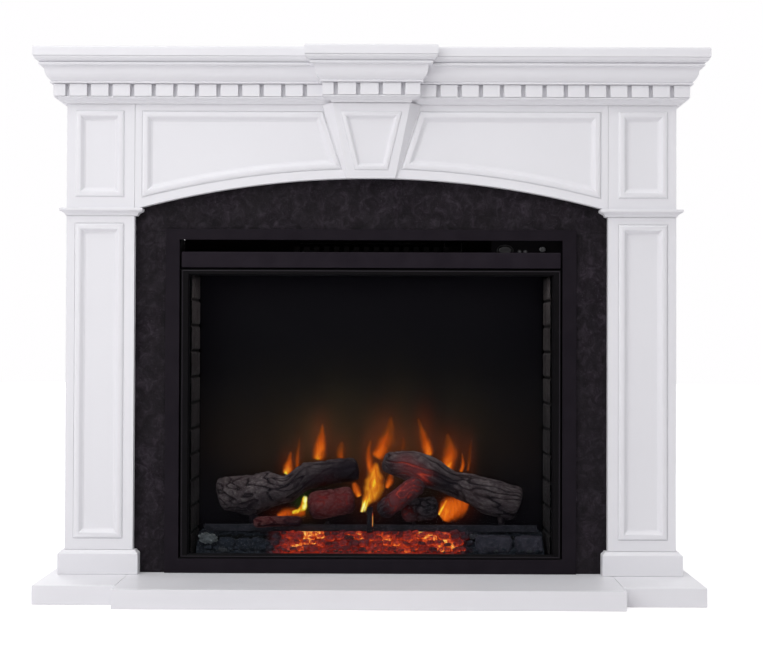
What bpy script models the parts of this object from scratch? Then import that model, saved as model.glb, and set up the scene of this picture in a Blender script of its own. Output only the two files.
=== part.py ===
# Electric fireplace: a painted breakfront mantel with a stone surround, and a
# steel insert that holds the glass, the log set, the flame effect and a heater.
# Metres, +Z up. The front faces -Y, +X is to the right of someone facing it.
# Origin: middle of the overall footprint, on the floor.
import math

import bmesh
import bpy
from mathutils import Vector

# ---------------------------------------------------------------- dimensions
GAP = 0.0003             # clearance between pieces that touch

HEIGHT = 1.200           # floor to top of the shelf
SHELF_T = 0.0214         # thickness of the shelf
SHELF_OVER = 0.063       # shelf overhang beyond the frieze
Y_BACK = 0.230           # the wall
Y_HEARTH = -0.230        # front of the middle hearth block
Y_HEARTH_SIDE = -0.183   # front of the hearth beside it
Y_PLINTH = -0.043
Y_FACE = -0.030          # face of pilasters and header
Y_STONE = -0.0117        # face of the stone surround
BOARD = 0.018
STONE_T = 0.0117

HEARTH_T = 0.0409
HEARTH_HALF = 0.7123
HEARTH_MID_HALF = 0.5350

PIL_OUT = 0.6770         # outer edge of a pilaster, from the middle
PIL_IN = 0.5256
PLINTH_OUT, PLINTH_IN = 0.6897, 0.5125
PLINTH_TOP, PLINTH_CHAMFER = 0.0871, 0.0940
CAP_OUT, CAP_IN, CAP_Y = 0.6908, 0.5066, -0.044
CAP_Z0, CAP_Z1 = 0.8342, 0.8510

WIN_IN, WIN_OUT = 0.5486, 0.6583        # panel windows of pilaster and block
PIL_WIN_Z0, PIL_WIN_Z1 = 0.1188, 0.8179
BLOCK_WIN_Z0, BLOCK_WIN_Z1 = 0.8755, 1.0691
BEAD_OUT, BEAD_IN = 0.0105, 0.0225      # inset of the bead's ridge and foot
BEAD_RISE, FIELD_DROP = 0.0040, 0.0050

ARCH_TOP = 0.9194
ARCH_R = 2.000
HEAD_WIN_X = 0.5099
HEAD_WIN_TOP = 1.0676
HEAD_WIN_UP = 0.0205     # band between the arch edge and the panel window

KEY_TOP_Z = 1.0823
KEY_BASE_TOP, KEY_BASE_BOT = 0.1095, 0.0565
KEY_FACE_TOP, KEY_FACE_BOT = 0.0856, 0.0526
KEY_Y_TOP, KEY_Y_BOT = -0.0580, -0.0360

BREAK_HALF = 0.082       # breakfront half width at the frieze
BREAK_OUT = 0.028        # how far it stands forward
SHELF_Z = HEIGHT - SHELF_T
DENTIL_Z0, DENTIL_Z1 = 1.0962, 1.1235
DENTIL_O, DENTIL_GAP_O = 0.0252, 0.0135
DENTIL_GAP_W = 0.0092

STONE_SEAM = 0.7990
OPEN_HALF = 0.4495

TRIM_OUT, TRIM_IN = 0.4574, 0.4264
TRIM_TOP_Z, TRIM_TOP_IN = 0.8058, 0.7824
TRIM_BOT_IN = 0.0730
TRIM_Y0, TRIM_Y1 = -0.0200, -0.0120
BAR_Z0, BAR_Z1 = 0.7205, 0.7557
FRAME_OUT, FRAME_IN = 0.4235, 0.4046
FRAME_Z = (0.0745, 0.0837, 0.7032, 0.7170)
BOX_HALF = 0.4465
BOX_Z0, BOX_Z1 = 0.0415, 0.7975
BOX_BACK = 0.190
SHEET = 0.002

KNOB = (0.3840, 0.0120, 0.7640)
ROCKER = (0.3008, 0.0120, 0.7620)
HEAT_BUTTON = (0.3335, 0.0120, 0.7595)
FLAME_BUTTON = (0.3465, 0.0120, 0.7595)
ROTOR = (0.0, 0.1570, 0.1700)
WHEEL = (0.0, 0.1100, 0.7570)

# ---------------------------------------------------------------- materials
for old in list(bpy.data.objects):
    bpy.data.objects.remove(old, do_unlink=True)


def material(name, colour, rough, metal=0.0):
    m = bpy.data.materials.new(name)
    m.use_nodes = True
    p = m.node_tree.nodes["Principled BSDF"]
    p.inputs["Base Color"].default_value = (*colour, 1.0)
    p.inputs["Roughness"].default_value = rough
    p.inputs["Metallic"].default_value = metal
    m.diffuse_color = (*colour, 1.0)
    return m


WHITE = (0.80, 0.79, 0.83)
STONE = (0.018, 0.017, 0.020)
BLACK = (0.016, 0.015, 0.017)
STEEL = (0.30, 0.30, 0.31)


# ---------------------------------------------------------------- mesh tools
def finish(bm, name, colour, rough, metal=0.0, origin=(0, 0, 0), smooth=None):
    bmesh.ops.remove_doubles(bm, verts=bm.verts, dist=1e-6)
    bmesh.ops.recalc_face_normals(bm, faces=bm.faces)
    bmesh.ops.translate(bm, verts=bm.verts, vec=-Vector(origin))
    me = bpy.data.meshes.new(name)
    bm.to_mesh(me)
    bm.free()
    ob = bpy.data.objects.new(name, me)
    ob.location = origin
    bpy.context.scene.collection.objects.link(ob)
    me.materials.append(material(name, colour, rough, metal))
    if smooth is not None:
        me.shade_smooth()
        me.set_sharp_from_angle(angle=math.radians(smooth))
    return ob


def stack(loops, closed=False):
    """Skin a list of equal loops, and cap the two ends unless it closes."""
    bm = bmesh.new()
    rows = [[bm.verts.new(p) for p in loop] for loop in loops]
    n = len(rows[0])
    pairs = list(zip(rows, rows[1:]))
    if closed:
        pairs.append((rows[-1], rows[0]))
    for a, b in pairs:
        for i in range(n):
            j = (i + 1) % n
            bm.faces.new((a[i], a[j], b[j], b[i]))
    if not closed:
        bm.faces.new(rows[0])
        bm.faces.new(rows[-1])
    return bm


def extrude(points, step):
    """One flat outline pushed along a vector."""
    bm = bmesh.new()
    face = bm.faces.new([bm.verts.new(p) for p in points])
    out = bmesh.ops.extrude_face_region(bm, geom=[face])
    moved = [g for g in out["geom"] if isinstance(g, bmesh.types.BMVert)]
    bmesh.ops.translate(bm, verts=moved, vec=Vector(step))
    return bm


def prism_y(poly, y0, y1):
    return extrude([(x, y0, z) for x, z in poly], (0, y1 - y0, 0))


def prism_z(poly, z0, z1):
    return extrude([(x, y, z0) for x, y in poly], (0, 0, z1 - z0))


def prism_x(poly, x0, x1):
    return extrude([(x0, y, z) for y, z in poly], (x1 - x0, 0, 0))


def rect(a0, a1, b0, b1):
    return [(a0, b0), (a1, b0), (a1, b1), (a0, b1)]


def box(x0, x1, y0, y1, z0, z1):
    return prism_z(rect(x0, x1, y0, y1), z0, z1)


def area(poly):
    return 0.5 * sum(p[0] * q[1] - q[0] * p[1]
                     for p, q in zip(poly, poly[1:] + poly[:1]))


def inset(poly, d):
    """Move every side of a closed outline inwards by d, with mitred corners."""
    turn = 1.0 if area(poly) > 0 else -1.0
    n = len(poly)
    out = []
    for i in range(n):
        a, b, c = poly[i - 1], poly[i], poly[(i + 1) % n]
        u = Vector((b[0] - a[0], b[1] - a[1])).normalized()
        v = Vector((c[0] - b[0], c[1] - b[1])).normalized()
        nu = Vector((-u.y, u.x)) * turn
        nv = Vector((-v.y, v.x)) * turn
        m = (nu + nv) / max(1e-6, 1.0 + nu.dot(nv))
        out.append((b[0] + m.x * d, b[1] + m.y * d))
    return out


def ring(outer, inner, y0, y1):
    """A frame round an opening: two outlines of four corners."""
    return stack([[(x, y0, z) for x, z in outer], [(x, y1, z) for x, z in outer],
                  [(x, y1, z) for x, z in inner], [(x, y0, z) for x, z in inner]],
                 closed=True)


def bead_steps():
    """Inset and height above the face, from the window edge to the field."""
    return [(0.0, 0.0), (BEAD_OUT - 0.0035, BEAD_RISE - 0.0006),
            (BEAD_OUT + 0.0005, BEAD_RISE), (BEAD_IN - 0.0045, -FIELD_DROP + 0.0035),
            (BEAD_IN, -FIELD_DROP)]


def plug(window, y_back, colour=WHITE):
    """A panel that fills a window and carries the raised bead round a field."""
    base = inset(window, GAP)
    loops = [[(x, y_back, z) for x, z in base]]
    for d, h in bead_steps():
        loops.append([(x, Y_FACE - h, z) for x, z in inset(base, d)])
    return stack(loops)


def round_loop(centre, radius, n, axis, phase=0.0):
    """A circle of n points about an axis ('x' or 'y')."""
    out = []
    for i in range(n):
        a = phase + 2 * math.pi * i / n
        c, s = radius * math.cos(a), radius * math.sin(a)
        if axis == "x":
            out.append((centre[0], centre[1] + c, centre[2] + s))
        else:
            out.append((centre[0] + c, centre[1], centre[2] + s))
    return out


def turned(profile, centre, n, axis):
    """A solid of revolution: (position along the axis, radius) pairs."""
    loops = []
    for t, r in profile:
        c = (centre[0] + t, centre[1], centre[2]) if axis == "x" else \
            (centre[0], centre[1] + t, centre[2])
        loops.append(round_loop(c, r, n, axis))
    return stack(loops)


def cut(target, bm, name):
    """Cut a shape out of a piece with a Boolean, and keep the shape as a guide."""
    cutter = finish(bm, name, (0.5, 0.1, 0.1), 0.5)
    cutter.display_type = "WIRE"
    cutter.hide_render = True
    mod = target.modifiers.new(name, "BOOLEAN")
    mod.operation = "DIFFERENCE"
    mod.solver = "EXACT"
    mod.object = cutter


def bevel(ob, width, segments=1, angle=40):
    mod = ob.modifiers.new("edge", "BEVEL")
    mod.width = width
    mod.segments = segments
    mod.limit_method = "ANGLE"
    mod.angle_limit = math.radians(angle)


def mirrored(points, side):
    return [(side * x, y) for x, y in points]


# ---------------------------------------------------------------- hearth
h, m = HEARTH_HALF, HEARTH_MID_HALF
plan = [(-h, Y_BACK), (-h, Y_HEARTH_SIDE), (-m, Y_HEARTH_SIDE), (-m, Y_HEARTH),
        (m, Y_HEARTH), (m, Y_HEARTH_SIDE), (h, Y_HEARTH_SIDE), (h, Y_BACK)]
ob = finish(prism_z(plan, 0.0, HEARTH_T), "hearth_slab", WHITE, 0.45)
bevel(ob, 0.0012)

STAND = HEARTH_T + GAP


# ---------------------------------------------------------------- the legs
def wrap(x_in, x_out, y_front, pull):
    """Plan of a moulding that wraps a leg, pulled in from its shown sides."""
    return [(x_in + pull, y_front + pull), (x_out - pull, y_front + pull),
            (x_out - pull, Y_BACK), (PIL_OUT + GAP, Y_BACK),
            (PIL_OUT + GAP, Y_STONE - GAP), (x_in + pull, Y_STONE - GAP)]


def leg_moulding(side, name, x_in, x_out, y_front, steps):
    loops = [[(side * x, y, z) for x, y in wrap(x_in, x_out, y_front, pull)]
             for z, pull in steps]
    return finish(stack(loops), name, WHITE, 0.45)


def window_rect(side, z0, z1):
    return [(side * WIN_IN, z0), (side * WIN_OUT, z0),
            (side * WIN_OUT, z1), (side * WIN_IN, z1)]


CAP_STEPS = [(CAP_Z0, 0.0122), (CAP_Z0 + 0.0030, 0.0108), (CAP_Z0 + 0.0062, 0.0078),
             (CAP_Z0 + 0.0090, 0.0040), (CAP_Z0 + 0.0108, 0.0012), (CAP_Z0 + 0.0126, 0.0),
             (CAP_Z1 - 0.0014, 0.0), (CAP_Z1, 0.0014)]

for side, tag in ((-1, "left"), (1, "right")):
    leg_moulding(side, "plinth_" + tag, PLINTH_IN, PLINTH_OUT, Y_PLINTH,
                 [(STAND, 0.0), (PLINTH_TOP, 0.0), (PLINTH_CHAMFER, 0.0070)])
    leg_moulding(side, "capital_" + tag, CAP_IN, CAP_OUT, CAP_Y, CAP_STEPS)

    z0, z1 = PLINTH_CHAMFER + GAP, CAP_Z0 - GAP
    outer = [(side * PIL_IN, z0), (side * PIL_OUT, z0),
             (side * PIL_OUT, z1), (side * PIL_IN, z1)]
    finish(ring(outer, window_rect(side, PIL_WIN_Z0, PIL_WIN_Z1), Y_FACE, Y_FACE + BOARD),
           "pilaster_frame_" + tag, WHITE, 0.45)
    finish(plug(window_rect(side, PIL_WIN_Z0, PIL_WIN_Z1), Y_FACE + BOARD),
           "pilaster_panel_" + tag, WHITE, 0.45)

    # corner block: one routed board, from the capital up to the shelf
    z0, z1 = CAP_Z1 + GAP, SHELF_Z - GAP
    x_in = PIL_IN + GAP
    outer = [(side * x_in, z0), (side * PIL_OUT, z0), (side * PIL_OUT, z1), (side * x_in, z1)]
    win = window_rect(side, BLOCK_WIN_Z0, BLOCK_WIN_Z1)
    loops = [[(x, Y_FACE + BOARD, z) for x, z in outer], [(x, Y_FACE, z) for x, z in outer]]
    for d, up in bead_steps():
        loops.append([(x, Y_FACE - up, z) for x, z in inset(win, d)])
    finish(stack(loops), "corner_block_" + tag, WHITE, 0.45)

    x = sorted((side * PIL_OUT, side * (PIL_OUT - BOARD)))
    finish(box(x[0], x[1], Y_STONE, Y_BACK, STAND, SHELF_Z - GAP),
           "side_panel_" + tag, WHITE, 0.5)

finish(box(-(PIL_OUT - BOARD - GAP), PIL_OUT - BOARD - GAP, Y_BACK - BOARD, Y_BACK,
           SHELF_Z - GAP - 0.100, SHELF_Z - GAP), "back_rail", WHITE, 0.5)


# ---------------------------------------------------------------- header
def arch_z(x, extra=0.0):
    r = ARCH_R + extra
    return ARCH_TOP - ARCH_R + math.sqrt(r * r - x * x)


def key_base(z):
    t = (z - arch_z(KEY_BASE_BOT)) / (KEY_TOP_Z - arch_z(KEY_BASE_BOT))
    return KEY_BASE_BOT + t * (KEY_BASE_TOP - KEY_BASE_BOT)


half = PIL_IN
N_ARCH = 32
outline = [(half, SHELF_Z - GAP), (-half, SHELF_Z - GAP)]
for i in range(N_ARCH + 1):
    x = -half + 2 * half * i / N_ARCH
    outline.append((x, max(arch_z(x), CAP_Z1 + GAP)))   # the ends sit on the capitals
header = finish(prism_y(outline, Y_FACE, Y_FACE + BOARD), "header_frame", WHITE, 0.45)


def header_window(side):
    """Panel window: straight top, arched bottom, inner end beside the keystone."""
    edge = 0.003
    x = KEY_BASE_BOT
    for _ in range(30):                    # where the slanted end meets the arc
        x = key_base(arch_z(x, HEAD_WIN_UP)) + edge
    pts = [(HEAD_WIN_X, HEAD_WIN_TOP), (key_base(HEAD_WIN_TOP) + edge, HEAD_WIN_TOP)]
    n = 12
    for i in range(n + 1):
        t = x + (HEAD_WIN_X - x) * i / n
        pts.append((t, arch_z(t, HEAD_WIN_UP)))
    return mirrored(pts, side)


for side, tag in ((-1, "left"), (1, "right")):
    win = header_window(side)
    cut(header, prism_y(win, Y_FACE - 0.02, Y_FACE + BOARD + 0.02), "header_cut_" + tag)
    finish(plug(win, Y_FACE + BOARD), "header_panel_" + tag, WHITE, 0.45)

# keystone: a wedge whose face leans back towards the arch, with its own field
kz = arch_z(KEY_BASE_BOT)


def key_y(z):
    t = (z - kz) / (KEY_TOP_Z - kz)
    return KEY_Y_BOT + t * (KEY_Y_TOP - KEY_Y_BOT)


base = [(-KEY_BASE_TOP, KEY_TOP_Z), (KEY_BASE_TOP, KEY_TOP_Z),
        (KEY_BASE_BOT, kz), (-KEY_BASE_BOT, kz)]
face = [(-KEY_FACE_TOP, KEY_TOP_Z), (KEY_FACE_TOP, KEY_TOP_Z),
        (KEY_FACE_BOT, kz), (-KEY_FACE_BOT, kz)]
field = [(-0.0680, 1.0640), (0.0680, 1.0640), (0.0372, 0.9365), (-0.0372, 0.9365)]
loops = [[(x, Y_FACE - GAP, z) for x, z in base], [(x, key_y(z), z) for x, z in face]]
for d, up in ((0.0, 0.0), (0.0065, 0.0030), (0.0160, -0.0050)):
    loops.append([(x, key_y(z) - up, z) for x, z in inset(field, d)])
finish(stack(loops), "keystone", WHITE, 0.45)

# ---------------------------------------------------------------- crown
PATH = [(-PIL_OUT, Y_BACK), (-PIL_OUT, Y_FACE), (-BREAK_HALF, Y_FACE),
        (-BREAK_HALF, Y_FACE - BREAK_OUT), (BREAK_HALF, Y_FACE - BREAK_OUT),
        (BREAK_HALF, Y_FACE), (PIL_OUT, Y_FACE), (PIL_OUT, Y_BACK)]


def offset(path, o):
    """The path moved outwards by o, with mitred corners."""
    out = []
    for i, p in enumerate(path):
        dirs = []
        if i:
            dirs.append(Vector((p[0] - path[i - 1][0], p[1] - path[i - 1][1])).normalized())
        if i < len(path) - 1:
            dirs.append(Vector((path[i + 1][0] - p[0], path[i + 1][1] - p[1])).normalized())
        norms = [Vector((d.y, -d.x)) for d in dirs]
        v = norms[0] if len(norms) == 1 else \
            (norms[0] + norms[1]) / (1.0 + norms[0].dot(norms[1]))
        out.append((p[0] + v.x * o, p[1] + v.y * o))
    return out


def swept(profile):
    """A moulding of one section, run round the front and both returns."""
    columns = [[(x, y, z) for x, y in offset(PATH, o)] for o, z in profile]
    return stack([[col[i] for col in columns] for i in range(len(PATH))])


CROWN = [(GAP, 1.1240), (0.0265, 1.1240), (0.0278, 1.1270), (0.0320, 1.1335),
         (0.0358, 1.1378), (0.0392, 1.1432), (0.0412, 1.1490), (0.0420, 1.1545),
         (0.0440, 1.1600), (0.0515, 1.1606), (0.0515, 1.1670), (0.0506, 1.1678),
         (0.0556, 1.1700), (0.0598, 1.1740), (0.0615, 1.1783), (GAP, 1.1783)]
BED = [(GAP, 1.0829), (0.0060, 1.0829), (0.0075, 1.0850), (0.0115, 1.0885),
       (0.0170, 1.0915), (0.0225, 1.0928), (0.0235, 1.0935), (0.0235, 1.0958),
       (GAP, 1.0958)]
finish(swept(CROWN), "crown_moulding", WHITE, 0.45)
finish(swept(BED), "bed_moulding", WHITE, 0.45)


def dentil_plan():
    """Teeth and gaps of the dentil course, cut along every outer run."""
    outer = offset(PATH, DENTIL_O)
    g = DENTIL_GAP_W / 2
    depth = DENTIL_O - DENTIL_GAP_O
    gaps = {0: [Y_BACK - 0.030 - 0.0476 * i for i in range(5)],
            1: [-0.6712 + 0.04766 * i for i in range(12)],
            3: [-0.0780 + 0.0492 * i for i in range(4)],
            5: [0.1475 + 0.0468 * i for i in range(12)],
            6: [Y_BACK - 0.030 - 0.0476 * i for i in reversed(range(5))]}
    pts = []
    for i, (a, b) in enumerate(zip(outer, outer[1:])):
        pts.append(a)
        for c in gaps.get(i, []):
            if i == 0:
                pts += [(a[0], c + g), (a[0] + depth, c + g), (a[0] + depth, c - g), (a[0], c - g)]
            elif i == 6:
                pts += [(a[0], c - g), (a[0] - depth, c - g), (a[0] - depth, c + g), (a[0], c + g)]
            else:
                pts += [(c - g, a[1]), (c - g, a[1] + depth), (c + g, a[1] + depth), (c + g, a[1])]
    pts.append(outer[-1])
    return pts + offset(PATH, GAP)[::-1]


finish(prism_z(dentil_plan(), DENTIL_Z0, DENTIL_Z1), "dentil_course", WHITE, 0.45)

ob = finish(prism_z(offset(PATH, SHELF_OVER), SHELF_Z, HEIGHT), "mantel_shelf", WHITE, 0.4)
bevel(ob, 0.0015, 2)

# ---------------------------------------------------------------- stone
STONE_HALF = 0.560
for side, tag in ((-1, "left"), (1, "right")):
    x = sorted((side * OPEN_HALF, side * STONE_HALF))
    finish(box(x[0], x[1], Y_STONE, Y_STONE + STONE_T, STAND, STONE_SEAM),
           "surround_" + tag, STONE, 0.3)
finish(box(-STONE_HALF, STONE_HALF, Y_STONE, Y_STONE + STONE_T, STONE_SEAM + GAP, 0.975),
       "surround_top", STONE, 0.3)

# ---------------------------------------------------------------- insert front
# trim frame: one pressed frame round the insert, standing on the hearth
ob = finish(ring(rect(-TRIM_OUT, TRIM_OUT, STAND, TRIM_TOP_Z),
                 rect(-TRIM_IN, TRIM_IN, TRIM_BOT_IN, TRIM_TOP_IN), TRIM_Y0, TRIM_Y1),
            "trim_frame", BLACK, 0.45)
bevel(ob, 0.001)
ob = finish(box(-0.4225, 0.4225, -0.0185, -0.0105, BAR_Z0, BAR_Z1), "outlet_bar", BLACK, 0.5)
bevel(ob, 0.0015, 2)

z = FRAME_Z
finish(ring(rect(-FRAME_OUT, FRAME_OUT, z[0], z[3]), rect(-FRAME_IN, FRAME_IN, z[1], z[2]),
            -0.0160, -0.0060), "glass_frame", BLACK, 0.4)
finish(box(-0.4120, 0.4120, -0.0057, -0.0017, 0.0790, 0.7090), "front_glass",
       (0.60, 0.62, 0.62), 0.05)

# ---------------------------------------------------------------- insert shell
yf = Y_STONE
finish(box(-BOX_HALF, BOX_HALF, yf, BOX_BACK, BOX_Z0, BOX_Z0 + SHEET), "firebox_floor", BLACK, 0.6)
finish(box(-BOX_HALF, BOX_HALF, yf, 0.150, BOX_Z1 - SHEET, BOX_Z1), "firebox_top", BLACK, 0.6)
z0, z1 = BOX_Z0 + SHEET + GAP, BOX_Z1 - SHEET - GAP
for side, tag in ((-1, "left"), (1, "right")):
    x = sorted((side * BOX_HALF, side * (BOX_HALF - SHEET)))
    finish(box(x[0], x[1], yf, BOX_BACK, z0, z1), "firebox_side_" + tag, BLACK, 0.6)
IN_HALF = BOX_HALF - SHEET - GAP
# the back sheet stands 6 mm above the top sheet, behind the air gap
back = finish(box(-IN_HALF, IN_HALF, BOX_BACK - SHEET, BOX_BACK, z0, BOX_Z1 + 0.0060), "firebox_back", BLACK, 0.6)
GLAND = (0.360, BOX_BACK, 0.100)
cut(back, turned([(-0.01, 0.0088), (0.01, 0.0088)], GLAND, 16, "y"), "gland_cut")
finish(box(-IN_HALF, IN_HALF, -0.0040, BOX_BACK - SHEET - GAP, 0.7180, 0.7200),
       "firebox_ceiling", BLACK, 0.6)

# a moulded gland in the back sheet, where the supply cord goes in
rings = [round_loop((GLAND[0], GLAND[1] + t, GLAND[2]), r, 16, "y")
         for t, r in ((-0.006, 0.0035), (-0.006, 0.0082), (GAP, 0.0082), (GAP, 0.0140),
                      (0.0035, 0.0140), (0.0045, 0.0100), (0.0160, 0.0075), (0.0160, 0.0035))]
finish(stack(rings, closed=True), "inlet_gland", (0.02, 0.02, 0.02), 0.7, smooth=35)

# brick liners: cast panels with a groove at every course
for side, tag in ((-1, "left"), (1, "right")):
    def slab(z, groove):
        return [(side * (0.4010 + groove), 0.0010, z), (side * (0.3982 + groove), 0.1235, z),
                (side * 0.4140, 0.1235, z), (side * 0.4170, 0.0010, z)]
    loops = [slab(z0, 0.0)]
    z = 0.1020
    while z < 0.70:
        for dz, groove in ((-0.0030, 0.0), (-0.0015, 0.0025), (0.0015, 0.0025), (0.0030, 0.0)):
            loops.append(slab(z + dz, groove))
        z += 0.0582
    loops.append(slab(0.7177, 0.0))
    finish(stack(loops), "brick_liner_" + tag, (0.10, 0.09, 0.08), 0.9)

finish(box(-0.3960, 0.3960, 0.1240, 0.1270, z0, 0.7177), "flame_screen",
       (0.02, 0.02, 0.02), 0.15)

# ---------------------------------------------------------------- flame effect
x0, y0, zc = ROTOR
loops = []
N_ROT = 18
for i in range(N_ROT + 1):
    t = i / N_ROT
    x = -0.330 + 0.660 * t
    turn = 2.5 * math.pi * t
    loops.append([(x, y0 + r * math.cos(a + turn), zc + r * math.sin(a + turn))
                  for a, r in [(k * math.pi / 4, 0.0175 if k % 2 == 0 else 0.0045)
                               for k in range(8)]])
shaft = [[(x, y0 + 0.003 * math.cos(k * math.pi / 4 + turn0),
           zc + 0.003 * math.sin(k * math.pi / 4 + turn0)) for k in range(8)]
         for x, turn0 in ((-0.3430, 0.0), (-0.3302, 0.0), (0.3302, 2.5 * math.pi),
                          (0.3430, 2.5 * math.pi))]
finish(stack(shaft[:2] + loops + shaft[2:]), "flame_rotor", (0.75, 0.75, 0.76), 0.2, 1.0,
       origin=ROTOR)
finish(turned([(0.3440, 0.0215), (0.3450, 0.0220), (0.3700, 0.0220), (0.3710, 0.0200)],
              ROTOR, 20, "x"), "flame_motor", STEEL, 0.35, 1.0, smooth=35)

# lamp board: a strip of lamps on the floor behind the screen
pts = [(-0.340, 0.0460), (0.340, 0.0460), (0.340, 0.0476)]
for i in range(12):
    c = 0.310 - i * 0.620 / 11
    pts += [(c + 0.004, 0.0476), (c + 0.004, 0.0496), (c - 0.004, 0.0496), (c - 0.004, 0.0476)]
pts.append((-0.340, 0.0476))
finish(prism_y(pts, 0.1500, 0.1640), "lamp_board", (0.75, 0.75, 0.70), 0.5)

# ---------------------------------------------------------------- blower
wx, wy, wz = WHEEL
R_WHEEL = 0.0200


def star(x, r0, r1):
    return [(x, wy + (r0 if k % 2 == 0 else r1) * math.cos(k * math.pi / 18),
             wz + (r0 if k % 2 == 0 else r1) * math.sin(k * math.pi / 18)) for k in range(36)]


finish(stack([star(-0.1680, 0.003, 0.003), star(-0.1605, 0.003, 0.003), star(-0.1600, 0.0198, 0.0198),
              star(-0.1580, 0.0198, 0.0198), star(-0.1575, R_WHEEL, 0.0165),
              star(0.1575, R_WHEEL, 0.0165), star(0.1580, 0.0198, 0.0198),
              star(0.1600, 0.0198, 0.0198), star(0.1605, 0.003, 0.003), star(0.1680, 0.003, 0.003)]),
       "blower_wheel", (0.25, 0.25, 0.26), 0.4, 0.6, origin=WHEEL)
finish(turned([(0.1690, 0.0300), (0.1705, 0.0315), (0.2060, 0.0315), (0.2075, 0.0290)],
              WHEEL, 20, "x"), "blower_motor", STEEL, 0.35, 1.0, smooth=35)

# housing: a scroll over the wheel that stands on the ceiling sheet
R_IN, R_OUT = 0.0245, 0.0262
inner, outer = [], []
for i in range(13):
    a = math.radians(-35 + 190 * i / 12)
    inner.append((wy + R_IN * math.cos(a), wz + R_IN * math.sin(a)))
    outer.append((wy + R_OUT * math.cos(a), wz + R_OUT * math.sin(a)))
foot = [(wy + R_OUT * math.cos(math.radians(-35)), 0.7203), (wy + 0.0400, 0.7203),
        (wy + 0.0400, 0.7222), (wy + R_OUT * math.cos(math.radians(-35)) + 0.0019, 0.7222)]
lead = math.radians(-35)
prof = [(wy + R_IN * math.cos(lead), 0.7203)] + foot + outer[0:] + inner[::-1]
prof = [(wy + R_IN * math.cos(lead), 0.7203), (wy + 0.0400, 0.7203), (wy + 0.0400, 0.7222),
        (outer[0][0], 0.7222)] + outer + inner[::-1]
finish(prism_x(prof, -0.1650, 0.1650), "blower_housing", (0.35, 0.35, 0.36), 0.4, 1.0)

# heating element: a finned bar across the outlet
pts = [(-0.180, 0.7300), (0.180, 0.7300)]
n = 16
for i in range(n):
    c = 0.170 - i * 0.340 / (n - 1)
    pts += [(c + 0.006, 0.7560), (c + 0.006, 0.7720), (c - 0.006, 0.7720), (c - 0.006, 0.7560)]
pts = [(-0.180, 0.7300), (0.180, 0.7300), (0.180, 0.7560)] + pts[2:] + [(-0.180, 0.7560)]
finish(prism_y(pts, 0.0500, 0.0640), "heating_element", (0.55, 0.53, 0.50), 0.4, 1.0)

# ---------------------------------------------------------------- controls
panel = finish(box(0.2700, IN_HALF - GAP, 0.0120, 0.0140, 0.7203, 0.7948), "control_panel",
               BLACK, 0.6)


def oval(cx, cz, a, b, n=20):
    return [(cx + a * math.cos(2 * math.pi * i / n), cz + b * math.sin(2 * math.pi * i / n))
            for i in range(n)]


cut(panel, prism_y(oval(ROCKER[0], ROCKER[2], 0.0162, 0.0112), 0.000, 0.030), "rocker_cut")
for name, c, r in (("heat_button_cut", HEAT_BUTTON, 0.0034), ("flame_button_cut", FLAME_BUTTON, 0.0034),
                   ("knob_cut", KNOB, 0.0038)):
    cut(panel, turned([(-0.01, r), (0.02, r)], c, 14, "y"), name)

loops = [[(x, y, z) for x, z in oval(ROCKER[0], ROCKER[2], a, b)]
         for y, a, b in ((0.0045, 0.0128, 0.0078), (0.0055, 0.0145, 0.0096), (0.0190, 0.0145, 0.0096))]
finish(stack(loops), "power_rocker", (0.20, 0.20, 0.20), 0.4, origin=(ROCKER[0], 0.0130, ROCKER[2]),
       smooth=35)
for name, c in (("heat_button", HEAT_BUTTON), ("flame_button", FLAME_BUTTON)):
    finish(turned([(-0.0045, 0.0022), (-0.0038, 0.0029), (0.0080, 0.0029)], c, 12, "y"), name,
           (0.55, 0.55, 0.55), 0.4, origin=c, smooth=35)
finish(turned([(-0.0100, 0.0066), (-0.0090, 0.0076), (-0.0010, 0.0080), (-0.0010, 0.0031),
               (0.0070, 0.0031)], KNOB, 20, "y"), "heat_knob", (0.55, 0.55, 0.55), 0.35,
       origin=KNOB, smooth=35)

# ---------------------------------------------------------------- fuel bed
BED_HALF, BED_Y0, BED_Y1 = 0.3900, 0.0040, 0.1215
BED_FRONT_Z, BED_TOP_Z, BED_SLOPE_Y = 0.0800, 0.1240, 0.0480


def bed_top(x, y):
    """A rough slope at the front, and a flat shelf behind it that the grate stands on."""
    t = min(1.0, (y - BED_Y0) / (BED_SLOPE_Y - BED_Y0))
    bump = 0.0030 * math.sin(61 * x + 3 * math.sin(47 * y)) * math.cos(88 * y + 19 * x)
    return BED_FRONT_Z + (BED_TOP_Z - BED_FRONT_Z) * t ** 0.85 + bump * (1.0 - t ** 3)


bm = bmesh.new()
nx = 26
ys = [BED_Y0, 0.0150, 0.0260, 0.0370, BED_SLOPE_Y, BED_Y1]
top = [[bm.verts.new((-BED_HALF + 2 * BED_HALF * i / nx, y,
                      bed_top(-BED_HALF + 2 * BED_HALF * i / nx, y)))
        for i in range(nx + 1)] for y in ys]
ny = len(ys) - 1
for j in range(ny):
    for i in range(nx):
        bm.faces.new((top[j][i], top[j][i + 1], top[j + 1][i + 1], top[j + 1][i]))
rim = top[0] + [top[j][nx] for j in range(1, ny + 1)] + top[ny][nx - 1::-1] + \
    [top[j][0] for j in range(ny - 1, 0, -1)]
low = [bm.verts.new((v.co.x, v.co.y, BOX_Z0 + SHEET + GAP)) for v in rim]
for i in range(len(rim)):
    j = (i + 1) % len(rim)
    bm.faces.new((rim[i], rim[j], low[j], low[i]))
bm.faces.new(low)
finish(bm, "ember_bed", (0.05, 0.05, 0.055), 0.9)

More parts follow.
